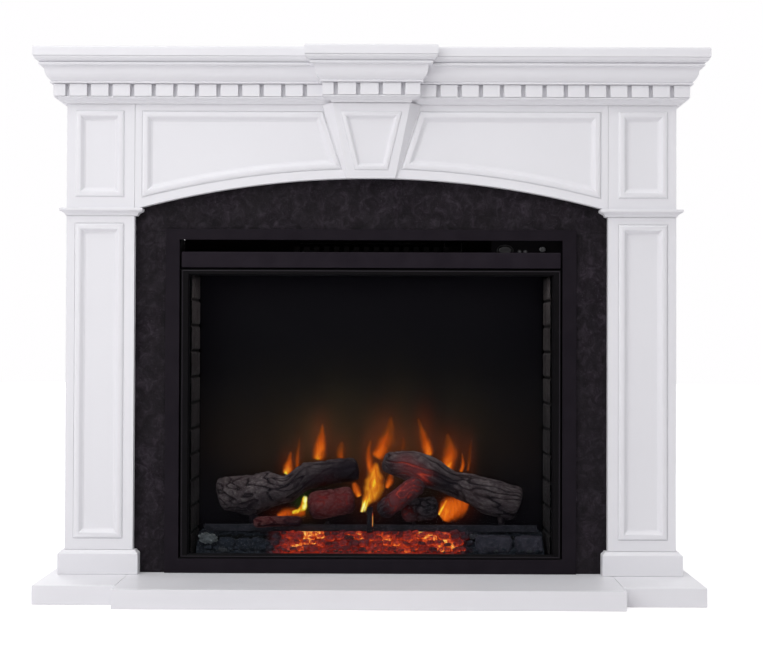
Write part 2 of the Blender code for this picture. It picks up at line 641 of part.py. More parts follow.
# log grate: a front rail, cross bars behind it, and one upturned prong in the middle
RAIL_Y0, RAIL_Y1, BAR_END = 0.0500, 0.0610, 0.1140
GRATE_Z0, GRATE_Z1, GRATE_HALF = BED_TOP_Z + GAP, 0.1410, 0.3780
BARS = (-0.2680, -0.1000, 0.1000, 0.3000)
PRONG_X0, PRONG_X1, PRONG_Y0, PRONG_Y1, PRONG_TOP = -0.0085, 0.0065, 0.0300, 0.0370, 0.1840
pts = [(-GRATE_HALF, RAIL_Y0), (PRONG_X0, RAIL_Y0), (PRONG_X0, PRONG_Y0), (PRONG_X1, PRONG_Y0),
       (PRONG_X1, RAIL_Y0), (GRATE_HALF, RAIL_Y0), (GRATE_HALF, RAIL_Y1)]
for c in reversed(BARS):
    pts += [(c + 0.005, RAIL_Y1), (c + 0.005, BAR_END), (c - 0.005, BAR_END), (c - 0.005, RAIL_Y1)]
pts.append((-GRATE_HALF, RAIL_Y1))
grate = finish(prism_z(pts, GRATE_Z0, GRATE_Z1), "log_grate", (0.05, 0.05, 0.06), 0.7)


def add_to(target, bm, name):
    """Weld a shape on to a piece with a Boolean union, and keep the shape as a guide."""
    extra = finish(bm, name, (0.1, 0.5, 0.1), 0.5)
    extra.display_type = "WIRE"
    extra.hide_render = True
    mod = target.modifiers.new(name, "BOOLEAN")
    mod.operation = "UNION"
    mod.solver = "EXACT"
    mod.object = extra


add_to(grate, box(PRONG_X0 + 0.0002, PRONG_X1 - 0.0002, PRONG_Y0 + 0.0002, PRONG_Y1,
                  GRATE_Z0 + 0.004, PRONG_TOP), "prong_upright")


def crook(t, keys):
    """Rise of the middle line and swelling of the height at t, eased between the given places."""
    for (t0, z0, k0), (t1, z1, k1) in zip(keys, keys[1:]):
        if t <= t1:
            f = max(0.0, min(1.0, (t - t0) / (t1 - t0)))
            f = f * f * (3 - 2 * f)
            return z0 + (z1 - z0) * f, k0 + (k1 - k0) * f
    return keys[-1][1:]


def log(name, a, b, r0, r1, sag, colour, n=10, rows=7, keys=((0.0, 0.0, 1.0), (1.0, 0.0, 1.0))):
    """A bent, tapered branch from a to b with an uneven outline."""
    a, b = Vector(a), Vector(b)
    axis = (b - a).normalized()
    side = axis.cross(Vector((0, 1, 0))).normalized()
    front = axis.cross(side).normalized()
    loops = []
    for i in range(rows):
        t = i / (rows - 1)
        rise, swell = crook(t, keys)
        c = a.lerp(b, t) + Vector((0, 0, sag * math.sin(math.pi * t) + rise))
        r = (r0 + (r1 - r0) * t) * (1.0 + 0.03 * math.sin(9 * t + 11 * r0 * 30))
        if i in (0, rows - 1):
            r *= 0.86
        loops.append([tuple(c + side * (r * swell * math.cos(2 * math.pi * k / n) *
                                        (1 + 0.03 * math.sin(3 * k + 5 * t)))
                            + front * (r * math.sin(2 * math.pi * k / n)))
                      for k in range(n)])
    return finish(stack(loops), name, colour, 0.9)


def foot(target, x, y, z_top, r):
    """A stub of branch under a log that stands on the grate."""
    loops = [[(x + q * math.cos(a), y + q * math.sin(a), z)
              for a in [2 * math.pi * k / 8 for k in range(8)]]
             for z, q in ((GRATE_Z1 + GAP, r * 0.85), (z_top, r))]
    add_to(target, stack(loops), target.name + "_foot")


ob = log("log_left", (-0.3460, 0.0770, 0.1930), (-0.0320, 0.0860, 0.2640), 0.0380, 0.0295, 0.0,
         (0.18, 0.15, 0.13), rows=12,
         keys=((0.0, 0.012, 1.00), (0.22, -0.004, 1.22), (0.36, -0.003, 1.14), (0.49, -0.011, 0.95),
               (0.64, 0.010, 0.94), (0.80, 0.007, 0.93), (1.0, 0.001, 0.90)))
foot(ob, BARS[0], 0.0760, 0.1900, 0.0110)
ob = log("log_right", (0.0330, 0.0860, 0.2840), (0.3380, 0.0770, 0.1870), 0.0265, 0.0390, 0.0,
         (0.16, 0.12, 0.10), rows=12,
         keys=((0.0, 0.0, 0.95), (0.16, 0.006, 1.14), (0.34, 0.003, 1.10), (0.51, -0.004, 0.90),
               (0.65, -0.002, 1.00), (0.80, -0.005, 1.16), (1.0, 0.0, 1.08)))
foot(ob, BARS[3], 0.0760, 0.1750, 0.0110)
log("log_small", (-0.1360, 0.0360, 0.1840), (-0.0400, 0.0360, 0.2010), 0.0320, 0.0320, 0.0,
    (0.20, 0.09, 0.06), rows=5)
log("log_center", (0.0225, 0.0270, 0.1730), (0.1140, 0.0280, 0.2380), 0.0215, 0.0220, 0.002,
    (0.10, 0.06, 0.05), rows=6)
log("log_chunk", (0.0740, 0.0680, 0.1715), (0.1500, 0.0650, 0.1800), 0.0280, 0.0280, 0.0,
    (0.09, 0.08, 0.08), rows=5)
log("log_front", (-0.2620, 0.0380, 0.1470), (-0.1560, 0.0340, 0.1500), 0.0125, 0.0125, 0.002,
    (0.13, 0.10, 0.09), rows=6)
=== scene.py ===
import math
import random

import bmesh
import bpy
import numpy as np
from mathutils import Matrix, Quaternion, Vector, noise


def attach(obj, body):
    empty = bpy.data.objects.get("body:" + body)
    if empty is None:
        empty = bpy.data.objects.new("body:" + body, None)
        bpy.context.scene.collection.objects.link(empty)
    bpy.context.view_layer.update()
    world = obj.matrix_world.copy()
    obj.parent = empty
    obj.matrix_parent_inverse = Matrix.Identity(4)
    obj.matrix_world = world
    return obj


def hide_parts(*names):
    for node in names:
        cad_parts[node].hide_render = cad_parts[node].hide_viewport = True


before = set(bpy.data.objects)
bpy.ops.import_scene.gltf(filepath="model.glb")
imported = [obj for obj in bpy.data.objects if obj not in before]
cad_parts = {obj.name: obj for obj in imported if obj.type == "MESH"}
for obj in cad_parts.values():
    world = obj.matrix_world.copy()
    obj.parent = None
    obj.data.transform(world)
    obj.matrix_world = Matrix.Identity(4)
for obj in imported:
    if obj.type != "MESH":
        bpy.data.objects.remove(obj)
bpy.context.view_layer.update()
scene = bpy.context.scene

# ------------------------------------------------------------------ camera
# Level with the middle of the object, three metres from the hearth.
EYE = Vector((0.0358, -3.183, 0.5582))
YAW, PITCH, ROLL = math.radians(-0.22), math.radians(0.74), math.radians(0.21)
ahead = Vector((math.sin(YAW) * math.cos(PITCH), math.cos(YAW) * math.cos(PITCH), math.sin(PITCH)))
cam_data = bpy.data.cameras.new("camera")
cam_data.sensor_width = 36.0
cam_data.lens = 36.0 * 1422.0 / 763.0
cam_data.clip_start, cam_data.clip_end = 0.05, 200.0
camera = bpy.data.objects.new("camera", cam_data)
scene.collection.objects.link(camera)
camera.location = EYE
camera.rotation_mode = "QUATERNION"
camera.rotation_quaternion = ahead.to_track_quat("-Z", "Y") @ Quaternion((0, 0, 1), ROLL)
scene.camera = camera
scene.view_settings.view_transform = "Standard"
scene.view_settings.look = "None"

# ------------------------------------------------------------------ sizes (metres, as in the frame)
GAP = 0.0003
HEIGHT, SHELF_T, SHELF_OVER = 1.200, 0.0214, 0.063
Y_BACK, Y_HEARTH, Y_HEARTH_SIDE = 0.230, -0.230, -0.183
Y_PLINTH, Y_FACE, Y_STONE, BOARD, STONE_T = -0.043, -0.030, -0.0117, 0.018, 0.0117
HEARTH_T, HEARTH_HALF, HEARTH_MID_HALF = 0.0409, 0.7123, 0.5350
STAND = HEARTH_T + GAP
PIL_OUT, PIL_IN = 0.6770, 0.5256
PLINTH_OUT, PLINTH_IN, PLINTH_TOP, PLINTH_CHAMFER = 0.6897, 0.5125, 0.0871, 0.0940
CAP_OUT, CAP_IN, CAP_Y, CAP_Z0, CAP_Z1 = 0.6908, 0.5066, -0.044, 0.8342, 0.8510
WIN_IN, WIN_OUT = 0.5486, 0.6583
PIL_WIN_Z0, PIL_WIN_Z1, BLOCK_WIN_Z0, BLOCK_WIN_Z1 = 0.1188, 0.8179, 0.8755, 1.0691
ARCH_TOP, ARCH_R = 0.9194, 2.000
HEAD_WIN_X, HEAD_WIN_TOP, HEAD_WIN_UP = 0.5099, 1.0676, 0.0205
KEY_TOP_Z = 1.0823
KEY_BASE_TOP, KEY_BASE_BOT, KEY_FACE_TOP, KEY_FACE_BOT = 0.1095, 0.0565, 0.0856, 0.0526
KEY_Y_TOP, KEY_Y_BOT = -0.0580, -0.0360
BREAK_HALF, BREAK_OUT = 0.082, 0.028
SHELF_Z = HEIGHT - SHELF_T
DENTIL_Z0, DENTIL_Z1, DENTIL_O, DENTIL_GAP_O, DENTIL_GAP_W = 1.0962, 1.1235, 0.0252, 0.0135, 0.0092
STONE_SEAM, OPEN_HALF, STONE_HALF = 0.7990, 0.4495, 0.560
TRIM_OUT, TRIM_IN, TRIM_TOP_Z, TRIM_TOP_IN, TRIM_BOT_IN = 0.4574, 0.4264, 0.8058, 0.7824, 0.0730
TRIM_Y0, TRIM_Y1 = -0.0200, -0.0120
BAR_Z0, BAR_Z1 = 0.7205, 0.7557
FRAME_OUT, FRAME_IN = 0.4235, 0.4046
FRAME_Z = (0.0745, 0.0837, 0.7032, 0.7170)
BOX_HALF, BOX_Z0, BOX_Z1, BOX_BACK, SHEET = 0.4465, 0.0415, 0.7975, 0.190, 0.002
KNOB = (0.3840, 0.0120, 0.7640)
ROCKER = (0.3008, 0.0120, 0.7620)
HEAT_BUTTON = (0.3335, 0.0120, 0.7595)
FLAME_BUTTON = (0.3465, 0.0120, 0.7595)
ROTOR = (0.0, 0.1570, 0.1700)
WHEEL = (0.0, 0.1100, 0.7570)
BED_HALF, BED_Y0, BED_Y1 = 0.3900, 0.0040, 0.1215
BED_FRONT_Z, BED_TOP_Z, BED_SLOPE_Y = 0.0800, 0.1240, 0.0480
GRATE_Z0, GRATE_Z1, GRATE_HALF = BED_TOP_Z + GAP, 0.1410, 0.3780


# ------------------------------------------------------------------ node kit
class Tree:
    """A short way to write a material's nodes."""

    def __init__(self, name, world=False):
        if world:
            self.owner = bpy.data.worlds.new(name)
        else:
            self.owner = bpy.data.materials.new(name)
        self.owner.use_nodes = True
        self.nt = self.owner.node_tree
        self.nt.nodes.clear()
        self._object = None

    def put(self, socket, value):
        if isinstance(value, bpy.types.NodeSocket):
            self.nt.links.new(value, socket)
        elif value is not None:
            if hasattr(socket.default_value, "__len__") and not hasattr(value, "__len__"):
                value = (value,) * len(socket.default_value)
            if hasattr(value, "__len__") and len(socket.default_value) == 4 and len(value) == 3:
                value = (*value, 1.0)
            socket.default_value = value

    def node(self, kind, ins=(), **props):
        n = self.nt.nodes.new(kind)
        for k, v in props.items():
            setattr(n, k, v)
        for k, v in dict(ins).items():
            self.put(n.inputs[k], v)
        return n

    def place(self):
        if self._object is None:
            self._object = self.node("ShaderNodeTexCoord").outputs["Object"]
        return self._object

    def scaled(self, scale, vec=None, rot=(0, 0, 0), loc=(0, 0, 0)):
        return self.node("ShaderNodeMapping", {"Vector": vec or self.place(), "Scale": scale,
                                               "Rotation": rot, "Location": loc}).outputs[0]

    def noise(self, scale, detail=3.0, rough=0.5, distort=0.0, vec=None, colour=False):
        n = self.node("ShaderNodeTexNoise", {"Vector": vec or self.place(), "Scale": scale,
                                             "Detail": detail, "Roughness": rough,
                                             "Distortion": distort})
        return n.outputs["Color" if colour else "Fac"]

    def cells(self, scale, feature="F1", vec=None, rand=1.0, out="Distance"):
        n = self.node("ShaderNodeTexVoronoi", feature=feature)
        self.put(n.inputs["Vector"], vec or self.place())
        self.put(n.inputs["Scale"], scale)
        self.put(n.inputs["Randomness"], rand)
        return n.outputs[out]

    def wave(self, scale, vec=None, distort=2.0, detail=2.0, kind="BANDS", axis="X"):
        n = self.node("ShaderNodeTexWave", {"Vector": vec or self.place(), "Scale": scale,
                                            "Distortion": distort, "Detail": detail},
                      wave_type=kind)
        if kind == "BANDS":
            n.bands_direction = axis
        return n.outputs["Fac"]

    def math(self, op, a, b=None, c=None, clamp=False):
        n = self.node("ShaderNodeMath", operation=op, use_clamp=clamp)
        for i, v in enumerate((a, b, c)):
            if v is not None:
                self.put(n.inputs[i], v)
        return n.outputs[0]

    def span(self, value, a, b, lo=0.0, hi=1.0, smooth=False):
        n = self.node("ShaderNodeMapRange", {"Value": value, "From Min": a, "From Max": b,
                                             "To Min": lo, "To Max": hi})
        if smooth:
            n.interpolation_type = "SMOOTHSTEP"
        return n.outputs[0]

    def mix(self, fac, a, b, blend="MIX"):
        n = self.node("ShaderNodeMix", data_type="RGBA", blend_type=blend)
        self.put(n.inputs[0], fac)
        self.put(n.inputs[6], a)
        self.put(n.inputs[7], b)
        return n.outputs[2]

    def ramp(self, fac, stops, ease="LINEAR"):
        n = self.node("ShaderNodeValToRGB", {"Fac": fac})
        r = n.color_ramp
        r.interpolation = ease
        while len(r.elements) < len(stops):
            r.elements.new(0.5)
        for e, (p, c) in zip(r.elements, stops):
            e.position = p
            e.color = (*c, 1.0) if len(c) == 3 else c
        return n.outputs[0]

    def attr(self, name, out="Fac"):
        return self.node("ShaderNodeAttribute", attribute_name=name).outputs[out]

    def split(self, vec=None):
        n = self.node("ShaderNodeSeparateXYZ", {"Vector": vec or self.place()})
        return n.outputs[0], n.outputs[1], n.outputs[2]

    def bump(self, height, strength=0.5, distance=0.001, normal=None):
        n = self.node("ShaderNodeBump", {"Strength": strength, "Distance": distance,
                                         "Height": height})
        if normal is not None:
            self.put(n.inputs["Normal"], normal)
        return n.outputs[0]

    def principled(self, **ins):
        n = self.node("ShaderNodeBsdfPrincipled")
        for k, v in ins.items():
            self.put(n.inputs[k.replace("_", " ")], v)
        return n.outputs[0]

    def done(self, shader):
        out = self.node("ShaderNodeOutputMaterial")
        self.nt.links.new(shader, out.inputs["Surface"])
        return self.owner


# ------------------------------------------------------------------ materials
def make_white(name, warm=0.0, rough=0.40):
    t = Tree(name)
    big = t.noise(2.2, 2.0)
    mid = t.noise(38.0, 3.0)
    peel = t.noise(620.0, 2.0, 0.55)
    colour = t.mix(t.span(big, 0.3, 0.7), (0.788, 0.784, 0.816 - warm), (0.820, 0.816, 0.846 - warm))
    colour = t.mix(t.span(mid, 0.35, 0.75, 0.0, 0.25), colour, (0.802, 0.798, 0.826 - warm))
    n = t.bump(mid, 0.10, 0.0008)
    n = t.bump(peel, 0.10, 0.00025, n)
    return t.done(t.principled(Base_Color=colour, Roughness=t.span(mid, 0.3, 0.7, rough - 0.05, rough + 0.07),
                               Normal=n, Specular_IOR_Level=0.42))


def make_board(name):
    """Bare fibreboard: the unpainted inner faces and back edges of the mantel."""
    t = Tree(name)
    fibre = t.noise(420.0, 4.0, 0.7)
    blot = t.noise(9.0, 3.0)
    fleck = t.noise(900.0, 2.0, 0.8, vec=t.scaled((1.0, 1.0, 0.35)))
    colour = t.mix(t.span(blot, 0.3, 0.7), (0.36, 0.235, 0.135), (0.46, 0.315, 0.19))
    colour = t.mix(t.span(fleck, 0.45, 0.8, 0.0, 0.55), colour, (0.20, 0.125, 0.07))
    return t.done(t.principled(Base_Color=colour, Roughness=t.span(fibre, 0.2, 0.8, 0.72, 0.9),
                               Normal=t.bump(fibre, 0.25, 0.0004), Specular_IOR_Level=0.3))


def make_stone(name):
    t = Tree(name)
    warp = t.noise(7.0, 4.0, 0.6, 0.6)
    mott = t.noise(48.0, 6.0, 0.68, 0.9)
    fine = t.noise(260.0, 4.0, 0.7)
    grit = t.noise(900.0, 2.0, 0.6)
    cleft = t.noise(26.0, 5.0, 0.62, 1.4, vec=t.scaled((1.0, 1.0, 0.55)))
    colour = t.ramp(mott, [(0.34, (0.0050, 0.0032, 0.0054)), (0.47, (0.0120, 0.0086, 0.0128)),
                           (0.58, (0.0250, 0.0190, 0.0266)), (0.74, (0.056, 0.047, 0.059))])
    colour = t.mix(t.span(warp, 0.35, 0.7, 0.0, 0.45), colour, (0.0185, 0.0150, 0.0175))
    colour = t.mix(t.span(fine, 0.58, 0.76, 0.0, 0.75), colour, (0.062, 0.056, 0.066))
    colour = t.mix(t.span(cleft, 0.62, 0.44, 0.0, 0.45), colour, (0.0060, 0.0055, 0.0065))
    n = t.bump(cleft, 0.75, 0.0045)
    n = t.bump(mott, 0.60, 0.0022, n)
    n = t.bump(fine, 0.55, 0.0009, n)
    n = t.bump(grit, 0.20, 0.0003, n)
    return t.done(t.principled(Base_Color=colour, Roughness=t.span(mott, 0.3, 0.8, 0.66, 0.48), Normal=n,
                               Specular_IOR_Level=0.10))


def make_powder(name, tone=0.0098, rough=0.52, level=0.07):
    """Black powder-coated steel: a fine leathery grain."""
    t = Tree(name)
    grain = t.noise(1400.0, 2.0, 0.6)
    wave = t.noise(30.0, 3.0)
    dust = t.noise(160.0, 5.0, 0.75)
    colour = t.mix(t.span(wave, 0.3, 0.7), (tone, tone * 0.76, tone * 1.12),
                   (tone * 1.30, tone * 1.00, tone * 1.42))
    colour = t.mix(t.span(dust, 0.66, 0.86, 0.0, 0.35), colour, (tone * 6, tone * 5.4, tone * 6.2))
    n = t.bump(grain, 0.30, 0.00025)
    n = t.bump(wave, 0.05, 0.001, n)
    return t.done(t.principled(Base_Color=colour, Roughness=t.span(wave, 0.3, 0.7, rough - 0.05, rough + 0.06),
                               Normal=n, Specular_IOR_Level=level))


def make_metal(name, colour, rough=0.32, streak=(1.0, 60.0, 60.0), scale=30.0, dull=0.5):
    """Bare or plated steel with a rolled or turned streak."""
    t = Tree(name)
    line = t.noise(scale, 5.0, 0.7, vec=t.scaled(streak))
    blot = t.noise(22.0, 4.0, 0.6)
    c0 = tuple(v * 0.72 for v in colour)
    shade = t.mix(t.span(line, 0.3, 0.7, 0.0, 0.7), c0, colour)
    shade = t.mix(t.span(blot, 0.5, 0.8, 0.0, dull), shade, tuple(v * 0.55 for v in colour))
    return t.done(t.principled(Base_Color=shade, Metallic=1.0,
                               Roughness=t.span(blot, 0.3, 0.8, rough - 0.06, rough + 0.14),
                               Normal=t.bump(line, 0.08, 0.0003)))


def make_plastic(name, colour, rough=0.4, grain=700.0, strength=0.12):
    t = Tree(name)
    g = t.noise(grain, 2.0, 0.5)
    w = t.noise(40.0, 3.0)
    c1 = tuple(min(1.0, v * 1.25 + 0.004) for v in colour)
    return t.done(t.principled(Base_Color=t.mix(t.span(w, 0.3, 0.7), colour, c1),
                               Roughness=t.span(w, 0.3, 0.7, rough - 0.05, rough + 0.07),
                               Normal=t.bump(g, strength, 0.0002)))


def make_glass(name):
    """Tempered pane: passes a little less than all the light, and mirrors faintly."""
    t = Tree(name)
    haze = t.noise(6.0, 3.0)
    smear = t.noise(45.0, 4.0, 0.6, 1.0)
    clear = t.node("ShaderNodeBsdfTransparent",
                   {"Color": t.mix(t.span(haze, 0.3, 0.7), (0.80, 0.82, 0.83), (0.84, 0.86, 0.86))}).outputs[0]
    gloss = t.node("ShaderNodeBsdfGlossy", {"Color": (0.80, 0.84, 0.88),
                                            "Roughness": t.span(smear, 0.4, 0.8, 0.03, 0.10)}).outputs[0]
    fres = t.node("ShaderNodeFresnel", {"IOR": 1.07}).outputs[0]
    m = t.node("ShaderNodeMixShader", {0: fres})
    t.nt.links.new(clear, m.inputs[1])
    t.nt.links.new(gloss, m.inputs[2])
    return t.done(m.outputs[0])


def make_brick(name):
    t = Tree(name)
    h = t.attr("relief")
    soot = t.noise(12.0, 4.0, 0.6)
    x, y, z = t.split()
    lip = t.span(y, 0.0034, 0.0016, 0.0, 1.0)
    grain = t.noise(260.0, 4.0, 0.7)
    pit = t.noise(90.0, 4.0, 0.65)
    face = t.ramp(pit, [(0.30, (0.040, 0.034, 0.036)), (0.55, (0.070, 0.060, 0.062)), (0.75, (0.112, 0.098, 0.098))])
    colour = t.mix(t.span(h, 0.10, 0.45), (0.0085, 0.0075, 0.0080), face)
    # in the brick this mask is random soot only
    colour = t.mix(t.span(soot, 0.40, 0.75, 0.10, 0.65), colour, (0.014, 0.012, 0.013))
    colour = t.mix(lip, colour, (0.0035, 0.0030, 0.0036))
    n = t.bump(pit, 0.5, 0.0015)
    n = t.bump(grain, 0.4, 0.0005, n)
    return t.done(t.principled(Base_Color=colour, Roughness=t.span(grain, 0.3, 0.7, 0.82, 0.97), Normal=n,
                               Specular_IOR_Level=0.15))


def make_bark(name, dark, mid, light, char=0.0, glow=0.0, ash=(0.30, 0.28, 0.27)):
    """Moulded bark: crests lighter and dusted with ash, furrows dark, some charring, painted shade on the lower side,
    and red cracks.
    """
    t = Tree(name)
    h = t.attr("relief")            # 0 in a furrow, 1 on a crest
    charring_and_painted_shade = t.attr("char")           # 0 sound, 1 charred; it also rises towards each log's lower side as painted shade
    end = t.attr("sawn")            # 1 on a sawn end
    hot = t.attr("hot")             # 1 where it glows
    fine = t.noise(300.0, 5.0, 0.72)
    mott = t.noise(55.0, 4.0, 0.62, 0.6)
    tint = t.noise(16.0, 3.0, 0.5)
    colour = t.mix(t.span(h, 0.15, 0.62), dark, mid)
    colour = t.mix(t.math("MULTIPLY", t.span(h, 0.55, 0.95), t.span(mott, 0.38, 0.66)), colour, light)
    colour = t.mix(t.span(tint, 0.50, 0.72, 0.0, 0.35), colour, tuple(v * f for v, f in zip(mid, (1.1, 0.88, 0.84))))
    colour = t.mix(t.math("MULTIPLY", t.span(fine, 0.52, 0.74), t.span(h, 0.5, 1.0, 0.0, 0.6)), colour, ash)
    ringy = t.wave(1.0, vec=t.node("ShaderNodeCombineXYZ", {0: t.math("MULTIPLY", t.attr("ringr"), 9.0)}).outputs[0],
                   distort=1.2, detail=2.0)
    wood = t.ramp(ringy, [(0.15, tuple(v * 0.9 for v in mid)), (0.55, tuple(v * 1.5 for v in mid)), (0.9, light)])
    wood = t.mix(t.span(mott, 0.35, 0.7, 0.0, 0.6), wood, mid)
    colour = t.mix(end, colour, wood)
    # charred spots and the painted shade on the lower side both go near black here
    colour = t.mix(t.math("MULTIPLY", charring_and_painted_shade, t.span(fine, 0.75, 0.35, 0.70, 1.0)), colour, (0.0120, 0.0078, 0.0135))
    colour = t.mix(t.math("MULTIPLY", hot, t.span(fine, 0.35, 0.6, 0.45, 1.0)), colour, (0.235, 0.042, 0.046))
    n = t.bump(mott, 0.45, 0.0020)
    n = t.bump(fine, 0.55, 0.0007, n)
    ins = dict(Base_Color=colour, Roughness=t.span(fine, 0.3, 0.7, 0.78, 0.96), Normal=n, Specular_IOR_Level=0.12)
    if glow:
        vein = t.noise(70.0, 3.0, 0.6, 1.2)
        heat = t.math("MULTIPLY", hot, t.span(h, 0.60, 0.15, 0.05, 1.0))
        heat = t.math("MULTIPLY", heat, t.span(vein, 0.36, 0.64, 0.25, 1.0))
        ins["Emission_Color"] = t.ramp(heat, [(0.0, (0.0, 0.0, 0.0)), (0.25, (0.16, 0.014, 0.010)),
                                              (0.6, (0.50, 0.055, 0.020)), (1.0, (1.0, 0.22, 0.05))])
        ins["Emission_Strength"] = glow
    return t.done(t.principled(**ins))


def make_coal(name, glow=0.0, tone=(0.034, 0.039, 0.056), ash=(0.17, 0.175, 0.21)):
    """Charcoal: black and blue-grey faces, pale ash on the crests, and fire in the cracks where it is lit."""
    t = Tree(name)
    h = t.attr("relief")
    hot = t.attr("hot")
    fine = t.noise(340.0, 5.0, 0.75)
    mott = t.noise(80.0, 5.0, 0.65, 0.8)
    colour = t.mix(t.span(mott, 0.3, 0.7), tuple(v * 0.35 for v in tone), tone)
    colour = t.mix(t.math("MULTIPLY", t.span(h, 0.5, 1.0), t.span(fine, 0.42, 0.68, 0.0, 0.75)), colour, ash)
    # the ember bed's strip under the grate rail goes near black here: painted shade
    colour = t.mix(t.attr("soot"), colour, (0.0020, 0.0018, 0.0022))
    n = t.bump(mott, 0.5, 0.0022)
    n = t.bump(fine, 0.5, 0.0008, n)
    ins = dict(Base_Color=colour, Roughness=t.span(fine, 0.3, 0.7, 0.76, 0.95), Normal=n, Specular_IOR_Level=0.25)
    if glow:
        swirl = t.noise(38.0, 5.0, 0.62, 2.2)
        lick = t.noise(120.0, 4.0, 0.7, 1.0)
        heat = t.math("MULTIPLY", hot, t.span(swirl, 0.36, 0.62, 0.50, 1.10))
        heat = t.math("MULTIPLY", heat, t.span(lick, 0.30, 0.64, 0.62, 1.16))
        ins["Emission_Color"] = t.ramp(heat, [(0.0, (0.0, 0.0, 0.0)), (0.12, (0.035, 0.002, 0.001)),
                                              (0.32, (0.16, 0.007, 0.002)), (0.52, (0.38, 0.022, 0.003)),
                                              (0.70, (0.72, 0.085, 0.008)), (0.86, (0.95, 0.27, 0.025)),
                                              (1.0, (1.0, 0.56, 0.13))])
        ins["Emission_Strength"] = glow
    return t.done(t.principled(**ins))


WHITE = make_white("white_paint")
WHITE_TOP = make_white("white_paint_shelf", rough=0.36)
BARE = make_board("bare_board")
STONE = make_stone("dark_stone")
POWDER = make_powder("black_trim")
POWDER_BAR = make_powder("black_bar", 0.0125, 0.48, 0.08)
BEZEL = make_powder("bezel_black", 0.0020, 0.50, 0.09)
# lighter, shinier black for the bezel's bead: the lighter tone is a painted highlight
BEZEL_BEAD_HIGHLIGHT = make_powder("bead_black_painted_highlight", 0.0160, 0.40, 0.22)
SHEET_BLACK = make_powder("black_sheet", 0.0040, 0.62, 0.06)
GLASS = make_glass("clear_glass")
BRICK = make_brick("brick")
ZINC = make_metal("zinc_sheet", (0.34, 0.34, 0.36), 0.42, (1, 1, 1), 14.0, 0.35)
STEEL = make_metal("motor_steel", (0.45, 0.45, 0.46), 0.30)
FOIL = make_metal("bright_foil", (0.82, 0.82, 0.84), 0.16, (1, 1, 1), 60.0, 0.1)
# heater alloy toned near black: painted shade for the element in the dark outlet slot
ALLOY_PAINTED_SHADE = make_metal("heater_alloy", (0.020, 0.018, 0.019), 0.50, (1, 1, 20), 20.0, 0.4)
SCREW = make_metal("screw_zinc", (0.55, 0.54, 0.50), 0.30, (1, 1, 1), 90.0, 0.4)
FAN_PLASTIC = make_plastic("blower_plastic", (0.06, 0.06, 0.065), 0.42)
RUBBER = make_plastic("gland_rubber", (0.018, 0.018, 0.018), 0.66, 900.0, 0.3)
SWITCH = make_plastic("switch_black", (0.0085, 0.0075, 0.0090), 0.42)
BUTTON = make_plastic("button_grey", (0.115, 0.112, 0.118), 0.36)
KNOBMAT = make_metal("knob_silver", (0.115, 0.115, 0.120), 0.45, (1, 1, 1), 120.0, 0.15)
IRON = make_coal("cast_iron", tone=(0.046, 0.043, 0.058), ash=(0.17, 0.16, 0.19))
# black cast iron for the grate's front post; its glow is painted firelight on the iron
PRONG_PAINTED_GLOW = make_coal("cast_iron_black_painted_glow", glow=1.0, tone=(0.016, 0.013, 0.020), ash=(0.09, 0.08, 0.09))
BARK = make_bark("log_bark", (0.0110, 0.0080, 0.0100), (0.088, 0.064, 0.068), (0.235, 0.185, 0.188), glow=0.9)
# the same bark tinted red for the small and front logs by the ember bed: the red tone is painted ember light
BARK_EMBER_LIT = make_bark("log_bark_painted_ember_light", (0.024, 0.004, 0.006), (0.105, 0.024, 0.026), (0.24, 0.092, 0.086), glow=0.8, ash=(0.25, 0.17, 0.16))
CHARRED = make_bark("log_charred", (0.0060, 0.0050, 0.0062), (0.030, 0.024, 0.030), (0.095, 0.074, 0.084), glow=1.2,
                    ash=(0.20, 0.18, 0.19))
COAL = make_coal("ember_resin", glow=1.35)
BLOCK = make_coal("charcoal_block", tone=(0.070, 0.063, 0.088), ash=(0.17, 0.16, 0.20))
ASHCOAL = make_coal("ash_coal", tone=(0.075, 0.076, 0.088), ash=(0.34, 0.33, 0.35))
PALE = make_coal("pale_ash", tone=(0.17, 0.18, 0.19), ash=(0.60, 0.61, 0.62))


# ------------------------------------------------------------------ mesh kit
def keep(ob, body="root", replaces=(), sharp=32.0, weighted=True, mats=()):
    for m in mats:
        ob.data.materials.append(m)
    if sharp is not None:
        ob.data.shade_smooth()
        ob.data.set_sharp_from_angle(angle=math.radians(sharp))
        if weighted:
            mod = ob.modifiers.new("even_normals", "WEIGHTED_NORMAL")
            mod.keep_sharp = True
            mod.weight = 60
    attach(ob, body)
    if replaces:
        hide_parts(*replaces)
    return ob


def from_bm(bm, name, merge=1e-6, recalc=True):
    if merge:
        bmesh.ops.remove_doubles(bm, verts=bm.verts, dist=merge)
    if recalc:
        bmesh.ops.recalc_face_normals(bm, faces=bm.faces)
    me = bpy.data.meshes.new(name)
    bm.to_mesh(me)
    bm.free()
    ob = bpy.data.objects.new(name, me)
    scene.collection.objects.link(ob)
    return ob


def skin(bm, loops, closed=False, caps=True, mat=0):
    """Skin a list of equal loops."""
    rows = [[bm.verts.new(p) for p in loop] for loop in loops]
    n = len(rows[0])
    pairs = list(zip(rows, rows[1:]))
    if closed:
        pairs.append((rows[-1], rows[0]))
    for a, b in pairs:
        for i in range(n):
            j = (i + 1) % n
            bm.faces.new((a[i], a[j], b[j], b[i])).material_index = mat
    if caps and not closed:
        bm.faces.new(rows[0][::-1]).material_index = mat
        bm.faces.new(rows[-1]).material_index = mat
    return rows


def area(poly):
    return 0.5 * sum(p[0] * q[1] - q[0] * p[1] for p, q in zip(poly, poly[1:] + poly[:1]))


